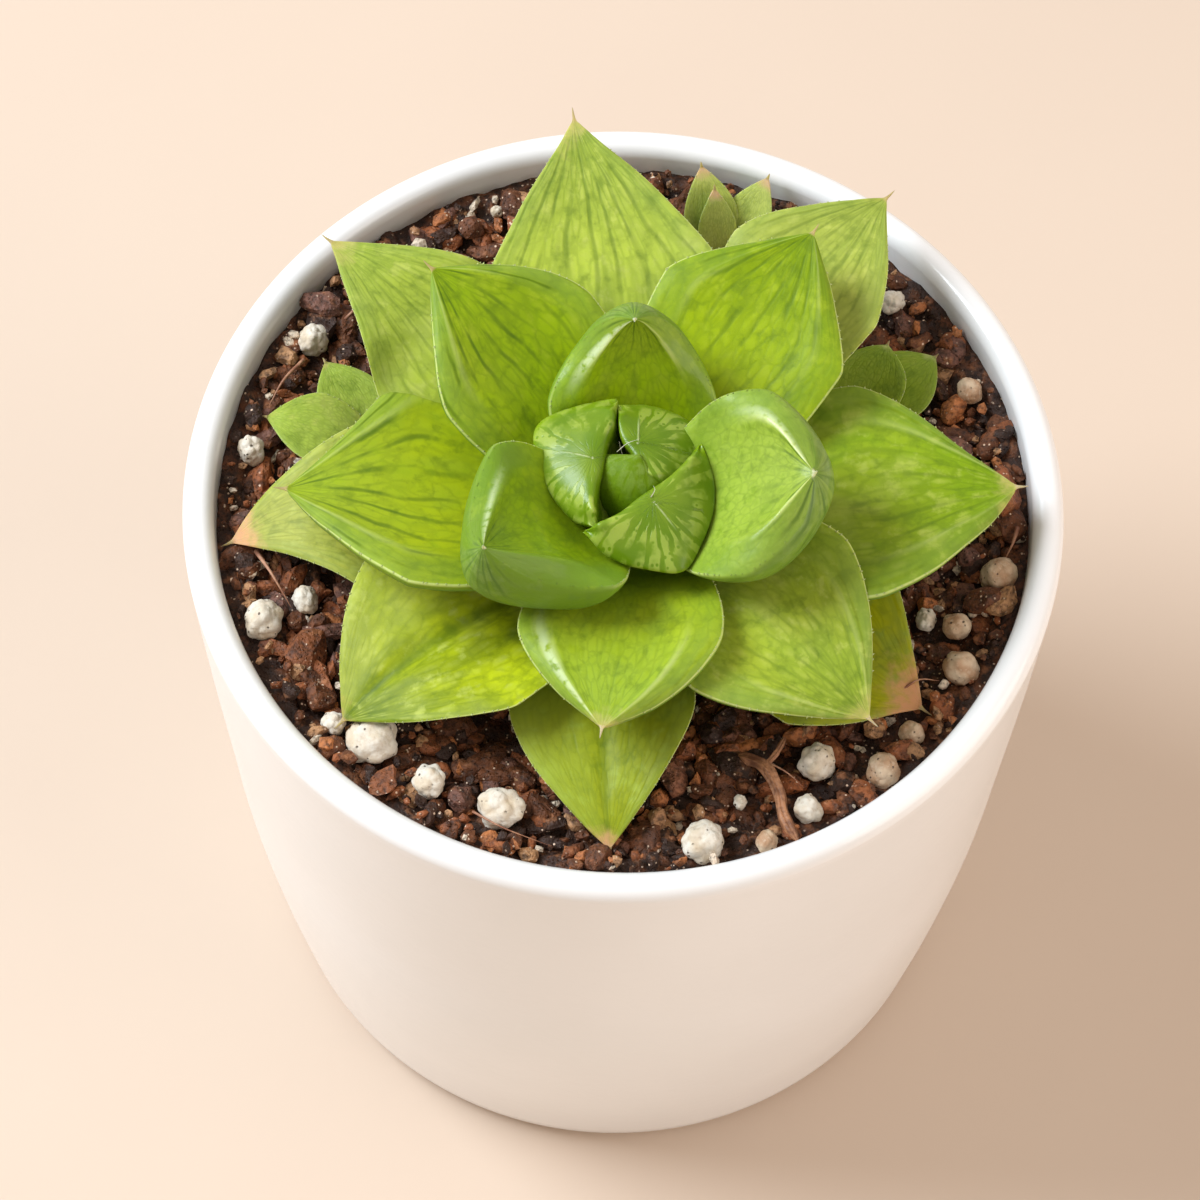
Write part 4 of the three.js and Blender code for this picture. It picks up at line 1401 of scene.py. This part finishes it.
def arc(centre, radius, start, end, count):
    """Points on a round, in a profile of (radius, height)."""
    angles = np.radians(np.linspace(start, end, count))
    return [(centre[0] + radius * np.cos(a), centre[1] + radius * np.sin(a)) for a in angles]


def pot_profile():
    """The pot's closed profile, from the foot round to the drain."""
    outside = through([(r, h) for h, r in POT_OUTER], 60).tolist()
    lip = arc((POT_RADIUS - LIP_RADIUS, LIP_HEIGHT), LIP_RADIUS, 8, 172, 22)
    inside = [(r - WALL, h) for r, h in outside[::-1] if CORNER_TOP < h < LIP_HEIGHT - 0.5]
    corner_at = outer_radius(CORNER_TOP) - WALL - CORNER_RADIUS, CORNER_TOP
    corner = arc(corner_at, CORNER_RADIUS, 0, -90, 10)
    drain = [(DRAIN_RADIUS + 0.8, FLOOR_TOP), (DRAIN_RADIUS, FLOOR_TOP - 0.8)]
    drain += [(DRAIN_RADIUS, FOOT_RECESS + 0.6), (DRAIN_RADIUS + 0.6, FOOT_RECESS)]
    foot = [(FOOT_INNER - 1, FOOT_RECESS), (FOOT_INNER, FOOT_RECESS - 0.7)]
    foot += [(FOOT_INNER + 0.5, 0.1), (FOOT_INNER + 1.2, 0)]
    foot += [(FOOT_OUTER - 1, 0), (FOOT_OUTER + 0.2, 0.15)]
    foot += [(FOOT_OUTER + 1.5, 0.8), (FOOT_OUTER + 2.3, 1.8)]
    return foot + outside + lip + inside + corner + drain


print("pot profile points:", len(pot_profile()))

# %% [markdown]
# The glaze is thick and white and a touch uneven, with a rare tan speck where iron in the
# clay has burnt through. It stops at the foot ring, where the bare clay shows, so its coat
# and its gloss fade out there.

# %% Glazed pot
POT_SPOKES = 180
GLAZE_WHITES = (0.86, 0.85, 0.84), (0.84, 0.83, 0.815)
IRON_SPECK = (0.55, 0.47, 0.38)
BARE_CLAY = (0.62, 0.52, 0.42)


def glaze_finish():
    """White glaze, bare at the foot ring."""
    finish = Finish("white_glaze")
    here = finish.position()
    _, _, height = finish.parts(here)
    slow = finish.noise(here, 26.0, 2)
    fine = finish.noise(here, 1.6, 2)
    colour = finish.mix(slow.step(0.3, 0.75), *GLAZE_WHITES)
    bare = height.step(1.1, 0.5)
    speck = finish.cells(here, 2.6).step(0.07, 0.03) * finish.noise(here, 9.0).step(0.6, 0.75)
    colour = finish.mix(speck * 0.35, colour, IRON_SPECK)
    colour = finish.mix(bare, colour, BARE_CLAY)
    roughness = slow * 0.1 + 0.2 + bare * 0.5
    return finish.surface(
        colour, roughness, finish.relief(slow * 3 + fine * 0.3, 0.05),
        coat=(1 - bare) * 0.35, Coat_Roughness=0.1, Specular_IOR_Level=0.5,
    )


def turn_pot():
    """The profile turned about the pot's axis."""
    profile = pot_profile()
    angle = TURN * np.arange(POT_SPOKES) / POT_SPOKES
    round_x, round_y = np.cos(angle), np.sin(angle)
    rings = [np.stack([r * round_x, r * round_y, 0 * round_x + h], -1) for r, h in profile]
    faces = ring_faces(len(profile), POT_SPOKES, closed_chain=True)
    return make_piece("pot_glazed", np.concatenate(rings), faces, glaze_finish(), ["pot"])


pot = turn_pot()
print("pot faces:", len(pot.data.polygons))

# %% [markdown]
# ## Soil
#
# The soil is a coarse, damp mix: dark crumbs, reddish bark, purple-brown lava and thin
# fibres. A bump map on a disc would look like carpet, so the bed is a closed body whose top
# is really uneven, and some thousands of separate crumbs lie on it.
#
# The surface is nearly level between the leaves, banked up to the pot's wall by watering,
# and broken by a gentle swell and two sizes of lump.

# %% Soil surface
SOIL_TOP = 84.4
SOIL_RADIUS = 45.8
BANK_HEIGHT, BANK_START = 1.8, 26
HEAP_SHARE, HEAP_START, HEAP_END = 0.8, 41, 45.5
BED_DEPTH = 1.6
SWELL, LUMPS = 0.3, 0.9


def mean_height(x, y):
    """Nearly level between the leaves, and banked up to the pot's wall."""
    return SOIL_TOP + BANK_HEIGHT * float(smooth(math.hypot(x, y), BANK_START, SOIL_RADIUS))


def bed_height(x, y):
    """The bed under the crumbs, less deep at the wall, where they are heaped up."""
    swell = math.sin(0.35 * x + 1) * math.cos(0.3 * y) * SWELL
    lumps = noise.fractal(Vector((x * 0.35, y * 0.35, 1.7)), 1.0, 2.0, 4)
    heaped = HEAP_SHARE * float(smooth(math.hypot(x, y), HEAP_START, HEAP_END))
    return mean_height(x, y) - BED_DEPTH * (1 - heaped) + swell + LUMPS * lumps


print("height of the soil in the middle and at the wall:", SOIL_TOP, mean_height(SOIL_RADIUS, 0))

# %% [markdown]
# Each crumb carries one number, its tint, which picks its kind from near black through
# reddish bark to tan and dusty white. So thousands of crumbs share one finish and still
# differ. The bed has no crumbs of its own, so its tint comes from noise.

# %% Damp soil
SOIL_KINDS = [
    (0.40, 0.55, (0.35, 0.105, 0.032)), (0.58, 0.68, (0.52, 0.18, 0.056)),
    (0.72, 0.78, (0.19, 0.080, 0.052)), (0.86, 0.92, (0.50, 0.26, 0.12)),
    (1.0, 1.05, (0.80, 0.66, 0.50)),
]
DARKEST, DARK_BROWN = (0.040, 0.015, 0.007), (0.17, 0.054, 0.017)
WET_DARK, WET_BROWN = (0.014, 0.006, 0.003), (0.03, 0.010, 0.005)
RUST_ORANGE_PATCH, MICA_AND_GLINT_PALE = (0.50, 0.20, 0.08), (0.90, 0.66, 0.48)


def soil_finish(name, from_tint):
    """Damp soil. The tint picks a crumb's kind, and the bed takes it from noise."""
    finish = Finish(name)
    here = finish.position()
    fine = finish.noise(here, 0.7, 4, 0.6)
    grain = finish.noise(here, 1.6, 3)
    if from_tint:
        tint = finish.node("Attribute", {"attribute_name": "tint"}, output=2)
    else:
        tint = finish.noise(here, 1.8).step(0.3, 0.7) * 0.3
    colour = finish.mix(tint.step(0.1, 0.35), DARKEST, DARK_BROWN)
    for low, high, kind in SOIL_KINDS:
        colour = finish.mix(tint.step(low, high), colour, kind)
    colour = finish.mix(fine.step(0.56, 0.3) * 0.75, colour, WET_DARK)
    colour = finish.mix(grain.step(0.5, 0.3) * 0.55, colour, WET_BROWN)
    # Orange patches from noise.
    colour = finish.mix(grain.step(0.55, 0.75) * 0.5, colour, RUST_ORANGE_PATCH)
    # Pale specks: mica, and painted glints that stand in for highlights on damp crumbs.
    mica_and_glint = finish.cells(here, 0.7).step(0.24, 0.12) * finish.noise(here, 1.3).step(0.48, 0.58)
    colour = finish.mix(mica_and_glint * 0.9, colour, MICA_AND_GLINT_PALE)
    glint = finish.cells(here, 0.5).step(0.32, 0.12)
    roughness = 0.55 - glint * 0.32 + fine * 0.12
    return finish.surface(
        colour, roughness, finish.relief(fine * 1.4 + grain + glint * 0.5, 0.3),
        Specular_IOR_Level=0.45,
    )


print("kinds of crumb:", len(SOIL_KINDS) + 2)

# %% [markdown]
# The bed fills the pot down to its floor, as the solid one does, and its top is a set of
# rings drawn closer together towards the wall, where the eye meets the soil's edge.

# %% Soil bed
BED_RADIUS = 46.3
BED_RINGS = 110
BED_SPOKES = 260
BED_FLOOR = FLOOR_TOP + 0.4
BED_HEIGHTS = (CORNER_TOP, 17.5, 35, 53, 70.5, 82)


def inner_radius(height):
    """The pot's inside radius at a height."""
    return outer_radius(height) - WALL


def lay_bed():
    """The soil's body, with its uneven top."""
    angle = TURN * np.arange(BED_SPOKES) / BED_SPOKES
    rings = []
    below = [(1.0, BED_FLOOR), (inner_radius(CORNER_TOP) - 5, BED_FLOOR)]
    below += [(inner_radius(height) - 0.4, height) for height in BED_HEIGHTS]
    for radius, height in below:
        ring = np.stack([radius * np.cos(angle), radius * np.sin(angle), 0 * angle + height], -1)
        rings.append(ring)
    for share in np.linspace(1, 0.004, BED_RINGS) ** 0.8:
        radius = BED_RADIUS * share
        ring = [(radius * math.cos(a), radius * math.sin(a)) for a in angle]
        rings.append(np.array([(x, y, bed_height(x, y)) for x, y in ring]))
    points = np.concatenate([*rings, [(0, 0, BED_FLOOR), (0, 0, bed_height(0, 0))]])
    faces = closed_skin(len(rings), BED_SPOKES)
    return make_piece("soil_bed", points, faces, soil_finish("soil_bed", False), ["soil"])


soil_bed = lay_bed()
print("soil bed faces:", len(soil_bed.data.polygons))

# %% [markdown]
# ## Grains
#
# Perlite is volcanic glass popped like corn: white, lumpy, with a few dark pits. Pumice is
# tan and smoother. Both sit where the solid model has them, and each is a fine ball pushed
# in and out by rounded noise. Metaballs would give round lumps too, but at no fixed place.

# %% Grain places
GRAINS = [
    (-40, -15.5, 4.8, 4.4), (-35.5, -12.5, 3.4, 3.2), (-31.5, -28.2, 2.8, 2.8),
    (-27, -30, 6.2, 4.8), (-20.5, -35, 4, 3.6), (-12.5, -38, 5.3, 4.8),
    (10, -41.4, 5.1, 4.5), (14, -36, 1.7, 1.7), (21.5, -37, 3.3, 4),
    (22.5, -31, 4.4, 5), (29.8, -31.8, 4.2, 4), (38.4, -18.7, 4.3, 4),
    (42.8, -6.7, 4.4, 4.2), (34.5, -12.3, 2.6, 2.6), (33, -27.1, 3, 3),
    (30.5, 29, 3, 3.4), (-36.5, 21.4, 3.8, 4.2), (-42.7, 6.4, 3.4, 4),
    (-16, 39.8, 1.6, 1.6), (17, -41, 2.8, 2.4), (39.5, 17.4, 3.2, 3),
    (38, -13.3, 3.4, 3.2),
]
PUMICE = {11, 12, 13, 15, 20, 21, 22}
print("grains of pumice and perlite:", len(PUMICE), len(GRAINS) - len(PUMICE))

# %% [markdown]
# Two finishes differ only in their numbers, so one function makes both from a table: soft
# patches of two colours, a scatter of specks, and dark pits in groups.

# %% Grain skins
STONES = {
    "perlite": dict(
        patch=2.4, patches=(0.35, 0.7), colours=((0.74, 0.68, 0.58), (0.64, 0.52, 0.37)),
        specks=(0.52, 0.3), speck=(0.45, 0.34, 0.23), pits=(0.24, 0.12), group=1.5,
        groups=(0.48, 0.6), dark=0.9, pit=(0.07, 0.04, 0.02), roughness=0.7, uneven=0.2,
        glow=dict(Subsurface_Weight=0.08, Subsurface_Radius=(1, 0.9, 0.8),
                  Subsurface_Scale=0.0006),
    ),
    "pumice": dict(
        patch=2.0, patches=(0.35, 0.65), colours=((0.66, 0.50, 0.34), (0.46, 0.26, 0.14)),
        specks=(0.5, 0.7), speck=(0.78, 0.66, 0.50), pits=(0.22, 0.1), group=1.2,
        groups=(0.45, 0.6), dark=0.8, pit=(0.07, 0.04, 0.025), roughness=0.55, uneven=0.15,
        glow={},
    ),
}


def stone_finish(name, stone):
    """A porous stone's skin, from its numbers in the table."""
    finish = Finish(name)
    here = finish.position()
    fine = finish.noise(here, 0.5, 4, 0.6)
    slow = finish.noise(here, stone["patch"])
    grouped = finish.noise(here, stone["group"]).step(*stone["groups"])
    pits = finish.cells(here, 0.8).step(*stone["pits"]) * grouped
    colour = finish.mix(slow.step(*stone["patches"]), *stone["colours"])
    colour = finish.mix(fine.step(*stone["specks"]) * 0.4, colour, stone["speck"])
    colour = finish.mix(pits * stone["dark"], colour, stone["pit"])
    roughness = fine * stone["uneven"] + stone["roughness"]
    relief = finish.relief(fine - pits * 1.5, 0.12)
    return finish.surface(colour, roughness, relief, **stone["glow"])


grain_finishes = {name: stone_finish(name, stone) for name, stone in STONES.items()}
print("grain finishes:", list(grain_finishes))

# %% [markdown]
# A ball of even triangles has no poles, where lumps would pinch. Rounded lumps come from the
# distance to scattered points, the slow shape from soft noise, and fine dents from noise at
# several scales.

# %% Grains
GRAIN_SINK = 0.4
GRAIN_DEPTH = 0.45
GRAIN_SHRINK = 0.98
GRAIN_LUMPS = {"perlite": 0.3, "pumice": 0.18}


def ball(level):
    """A unit ball of even triangles: its points and faces."""
    shape = bmesh.new()
    bmesh.ops.create_icosphere(shape, subdivisions=level, radius=1)
    points = np.array([v.co[:] for v in shape.verts])
    faces = np.array([[v.index for v in f.verts] for f in shape.faces])
    shape.free()
    return points, faces


def lumpy(points, seed, lump, dent):
    """The ball's points pushed out by rounded lumps and in by dents."""
    shift = Vector((seed * 5.1, seed * 2.3, seed))
    moved = []
    for point in points:
        spot = Vector(point)
        rounded = noise.voronoi(spot * 1.5 + shift)[0][0]
        slow = noise.noise(spot * 1.1 + shift)
        fine = noise.fractal(spot * 4 + shift, 0.8, 2.0, 3)
        moved.append(point * (1 + lump * (0.5 - rounded) + 0.12 * slow + dent * fine))
    return np.array(moved)


def spin(turn):
    """A turn about the upright axis, for points in rows."""
    c, s = math.cos(turn), math.sin(turn)
    return np.array([[c, s, 0], [-s, c, 0], [0, 0, 1]])


def lay_grain(number, grain, unit_ball):
    """One grain at its place, sunk a little into the soil."""
    x, y, breadth, height = grain
    kind = "pumice" if number in PUMICE else "perlite"
    points, faces = unit_ball
    half_size = np.array([breadth / 2, breadth * GRAIN_DEPTH, height / 2])
    points = lumpy(points, number, GRAIN_LUMPS[kind], 0.03) * half_size * GRAIN_SHRINK
    points = points @ spin(number)
    points = points + (x, y, mean_height(x, y) + (0.5 - GRAIN_SINK) * height)
    name = f"{kind}_grain_{number}"
    return make_piece(name + "_stone", points, faces.tolist(), grain_finishes[kind], [name])


fine_ball = ball(5)
grain_pieces = [lay_grain(i + 1, grain, fine_ball) for i, grain in enumerate(GRAINS)]
print("grains:", len(grain_pieces), "faces each:", len(fine_ball[1]))

# %% [markdown]
# ## Crumbs and bark
#
# Crumbs must not poke through the leaves that lie over the soil. So before one is laid, a
# ray is cast up from its place to the leaves, and it is left out where it has no room or
# where a grain lies already.

# %% Room for crumbs
RAY_DEPTH = 3
NO_LEAF = 99.0
leaf_trees = [
    BVHTree.FromObject(piece, bpy.context.evaluated_depsgraph_get())
    for piece in leaf_pieces + hood_pieces
]


def room_above(x, y):
    """How high a crumb may stand at a place before it meets a leaf, in millimetres."""
    start = Vector((x, y, SOIL_TOP - RAY_DEPTH)) * MM
    room = NO_LEAF
    for tree in leaf_trees:
        hit = tree.ray_cast(start, Vector((0, 0, 1)))[0]
        if hit is not None:
            room = min(room, hit.z / MM - SOIL_TOP)
    return room


def clear_of_grains(x, y, size):
    """Whether a crumb of that size would miss every grain."""
    return all(
        math.hypot(x - gx, y - gy) > breadth / 2 * 0.8 + size * 0.3
        for gx, gy, breadth, _ in GRAINS
    )


print("room at the front and under a leaf:", [round(room_above(0, y), 1) for y in (-44, -28)])

# %% [markdown]
# Bark and lava break along flat faces. Each body is a ball whose points are held back by a
# few random planes, then made a little lumpy, stretched, leant and turned. They are joined
# into one piece for each size, because thousands of separate objects would be slow to load.
# All draws come from one seeded source in a fixed order, so each run gives the same soil.

# %% Crumb shapes
BARE_RADIUS = 18
TRIES = 4
CUTS = (5, 7, 9)


def chipped(points, draw, cuts):
    """The unit ball split by a few random planes, as bark and lava break."""
    reach = np.ones(len(points))
    for _ in range(cuts):
        normal = Vector([draw.gauss(0, 1) for _ in range(3)]).normalized()
        facing = points @ np.array(normal)
        depth = draw.uniform(0.5, 0.9)
        reach = np.minimum(reach, depth / np.maximum(facing, depth / 9))
    return points * reach[:, None]


def lean(tilt):
    """A lean about the x axis, for points in rows."""
    c, s = math.cos(tilt), math.sin(tilt)
    return np.array([[1, 0, 0], [0, c, s], [0, -s, c]])


def scatter(name, count, sizes, level, flatness, lift, tints, seed, material):
    """Many small bodies strewn over the bed, joined into one piece."""
    draw = random.Random(seed)
    unit_points, unit_faces = ball(level)
    points, faces, tint = [], [], []
    tried = 0
    while len(points) < count and tried < count * TRIES:
        tried += 1
        size = draw.uniform(*sizes) * draw.uniform(0.7, 1.0)
        outermost = SOIL_RADIUS - size * 0.3
        reach = math.sqrt(draw.uniform(BARE_RADIUS ** 2, outermost ** 2))
        angle = draw.uniform(0, TURN)
        x, y = reach * math.cos(angle), reach * math.sin(angle)
        seat = bed_height(x, y) + draw.uniform(0, lift)
        stretch = np.array([draw.uniform(0.85, 1.6), draw.uniform(0.7, 1.0), 1.0]) * size / 2
        stretch[2] = size / 2 * draw.uniform(*flatness)
        rise = draw.uniform(0.1, 0.6)
        top = seat + stretch[2] * (1 + rise) - SOIL_TOP
        if not clear_of_grains(x, y, size) or room_above(x, y) < top + 0.2:
            continue
        shape = chipped(unit_points, draw, draw.choice(CUTS))
        shape = lumpy(shape, draw.uniform(0, 90), 0.2, 0.12) * stretch
        turn, tilt = draw.uniform(0, TURN), draw.uniform(-0.6, 0.6)
        faces += (unit_faces + len(points) * len(unit_points)).tolist()
        points.append(shape @ lean(tilt) @ spin(turn) + (x, y, seat + stretch[2] * rise))
        tint += [draw.choice(tints) + draw.uniform(-0.04, 0.04)] * len(unit_points)
    piece = make_piece(name, np.concatenate(points), faces, material, (), None, tint)
    piece.data.polygons.foreach_set("use_smooth", [False] * len(faces))
    return piece


print("triangles of a chip and of a crumb:", [len(ball(level)[1]) for level in (2, 1)])

# %% [markdown]
# Large flat bark chips are strewn first, then rounder lumps, then fine crumbs that fill the
# gaps between them. The named tints say what the mix holds, with dark crumbs and brown bark
# the most common.

# %% Strewing the soil
DARK, BROWN, RUST, ORANGE, MAUVE, TAN, DUST = 0.12, 0.3, 0.5, 0.68, 0.8, 0.94, 1.1
crumb_finish = soil_finish("soil_crumbs", True)
crumbs = [
    scatter("bark_chips", 460, (3.2, 5.8), 2, (0.4, 0.75), 0.6,
            (DARK, BROWN, BROWN, BROWN, RUST, RUST, MAUVE), 12, crumb_finish),
    scatter("soil_lumps", 620, (2.2, 4.2), 2, (0.5, 0.95), 0.9,
            (DARK, DARK, BROWN, BROWN, RUST, RUST, ORANGE, MAUVE, TAN), 13, crumb_finish),
    scatter("soil_fine_crumbs", 2400, (0.8, 2.3), 1, (0.6, 1.0), 1.3,
            (DARK, DARK, BROWN, BROWN, RUST, RUST, ORANGE, TAN, DUST), 11, crumb_finish),
]
print("crumb faces:", [len(piece.data.polygons) for piece in crumbs])

# %% [markdown]
# ## Twig, fibres and stem
#
# A split twig of bark lies at the front with a stub of a side shoot. It is a thread whose
# rings are grooved: two waves round the ring make the strands, and slow noise along it makes
# the knots. Both shoots are joined into one piece, as they are on the real twig.

# %% Twig
TWIG_POINTS = 60
TWIG_SPOKES = 40
TWIG_RADIUS = 0.62
TWIG_ROUTE = [(13.6, -30.2, 0.7), (16.6, -31.8, 1.1), (18.2, -35, 1), (18.8, -38, 0.9),
              (20.4, -41, 0.6)]
STUB_STEPS = [(0, 0, 0), (1.3, 1.6, 0.4), (2.2, 3.6, 0.2)]


def grooved(route, radius):
    """A grooved shoot along a route: its points and faces."""
    line = through(route, TWIG_POINTS)
    angle = TURN * np.arange(TWIG_SPOKES) / TWIG_SPOKES
    last = TWIG_POINTS - 1
    rings = []
    for i, centre, side, up in square_to(line, (0, 0, 1)):
        grooves = 1 + 0.18 * np.cos(5 * angle + i * 0.05) + 0.09 * np.cos(11 * angle)
        knots = 1 + 0.22 * noise.noise(Vector((i * 0.13, radius * 9, 2)))
        taper = min(1, 0.35 + i / 6, 0.3 + (last - i) / 9)
        thick = radius * grooves * knots * taper
        rings.append(set_out(centre, side, -up, np.cos(angle) * thick, np.sin(angle) * thick))
    points = np.concatenate([*rings, [line[0], line[-1]]])
    return points, closed_skin(TWIG_POINTS, TWIG_SPOKES, flip=True)


def on_soil(route):
    """A route whose heights are counted from the soil."""
    return [(x, y, mean_height(x, y) + rise) for x, y, rise in route]


def lay_twig():
    """The twig, grooved along its length, with a stub of a side shoot."""
    main = on_soil(TWIG_ROUTE)
    stub = [np.array(main[1]) + step for step in STUB_STEPS]
    points, faces = joined([grooved(main, TWIG_RADIUS), grooved(stub, TWIG_RADIUS * 0.5)])
    finish = straw_finish("twig_bark", (0.50, 0.23, 0.11), (0.16, 0.06, 0.028))
    return make_piece("bark_twig_grooved", points, faces, finish, ["bark_twig"])


twig = lay_twig()
print("twig points:", len(twig.data.vertices))

# %% [markdown]
# Loose fibres of coir arch over the crumbs, here and there, and are threads like the hairs.
# The short stem hides under the leaves, so its solid is left as it is and only given a dull
# green and brown finish.

# %% Fibres and stem
FIBRES = [
    [(-37.4, 18.2, 1.2), (-39.5, 15.0, 1.9), (-41.0, 12.1, 1.0)],
    [(-41.4, -7.0, 1.0), (-39.3, -10.5, 2.2), (-37.0, -13.9, 0.9)],
    [(-15.5, -39.0, 1.4), (-12, -41.3, 2.2), (-7.0, -42.6, 0.9)],
    [(16.5, -31.0, 1.2), (19.0, -33.2, 2.4), (21.0, -34.6, 1.2)],
    [(31, -22.5, 0.8), (33.5, -20.8, 1.5), (36, -20.5, 0.7)],
    [(-33.0, 24.0, 1.0), (-30.0, 27.0, 1.8), (-27.5, 28.5, 0.8)],
    [(44.8, -1.2, 1.6), (44.2, -3.4, 1.9), (43.4, -4.9, 0.9)],
]
FIBRE_RADII = [0.27, 0.3, 0.16, 0.14, 0.2, 0.2, 0.3]


def stem_finish():
    """Dull green and brown, as a stem under old leaves is."""
    finish = Finish("stem")
    here = finish.position()
    slow = finish.noise(here, 3.0)
    fine = finish.noise(here, 0.8)
    colour = finish.mix(slow.step(0.3, 0.7), (0.20, 0.24, 0.08), (0.16, 0.11, 0.06))
    return finish.surface(colour, fine * 0.2 + 0.55, finish.relief(fine, 0.2))


fibre_finish = straw_finish("fibre", (0.50, 0.26, 0.15), (0.26, 0.10, 0.055))
fibre_routes = [on_soil(route) for route in FIBRES]
lay_threads("soil_fibres", fibre_routes, FIBRE_RADII, fibre_finish)
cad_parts["stem"].material_slots[0].material = stem_finish()
print("fibres:", len(FIBRES))

# %% [markdown]
# ## Stage and light
#
# The piece is shown on a plain pale floor, wide enough that its edge is never seen. The
# floor is staged, so that it isn't taken for a part of the plant.

# %% Floor
FLOOR_HALF = 1.6
FLOOR_COLOURS = (0.66, 0.53, 0.42), (0.62, 0.49, 0.385)


def floor_finish():
    """Pale and nearly even."""
    finish = Finish("pale_floor")
    soft = finish.noise(finish.position(), 60.0, 2)
    return finish.surface(finish.mix(soft, *FLOOR_COLOURS), soft * 0.1 + 0.6)


def lay_floor():
    """One large square under the pot."""
    mesh = bpy.data.meshes.new("floor")
    signs = [(-1, -1), (1, -1), (1, 1), (-1, 1)]
    corners = [(x * FLOOR_HALF, y * FLOOR_HALF, 0) for x, y in signs]
    mesh.from_pydata(corners, [], [(0, 1, 2, 3)])
    mesh.materials.append(floor_finish())
    floor = bpy.data.objects.new("floor", mesh)
    bpy.context.scene.collection.objects.link(floor)


lay_floor()
print("floor is", 2 * FLOOR_HALF, "m wide")

# %% [markdown]
# One broad light stands high on the left and a little behind, as the sun did, and its size
# keeps the shadows soft. A wide, weak one on the other side fills them, and the rest comes
# from an even sky. The plain view transform keeps white glaze white.

# %% Light
LIGHTS = {
    "key_light": dict(place=(-0.8, 0.2, 0.85), size=0.66, power=16.0, colour=(0.90, 1.0, 1.10)),
    "fill_light": dict(place=(0.9, -0.3, 0.45), size=0.9, power=5.6, colour=(1.0, 0.91, 0.85)),
}
SKY_COLOUR = (1.0, 0.91, 0.83, 1)
SKY_STRENGTH = 0.60


def area_light(name, place, size, power, colour):
    """A round light that looks at the pot's lip."""
    data = bpy.data.lights.new(name, "AREA")
    data.shape = "DISK"
    data.size = size
    data.energy = power
    data.color = colour
    light = bpy.data.objects.new(name, data)
    light.location = place
    aim = Vector((0, 0, LIP_HEIGHT * MM)) - Vector(place)
    light.rotation_euler = aim.to_track_quat("-Z", "Y").to_euler()
    bpy.context.scene.collection.objects.link(light)


for name, light in LIGHTS.items():
    area_light(name, **light)
world = bpy.data.worlds.new("studio")
world.use_nodes = True
sky = world.node_tree.nodes["Background"].inputs
sky["Color"].default_value = SKY_COLOUR
sky["Strength"].default_value = SKY_STRENGTH
bpy.context.scene.world = world
bpy.context.scene.view_settings.view_transform = "Standard"
print("lights:", list(LIGHTS))

# %% [markdown]
# ## Size
#
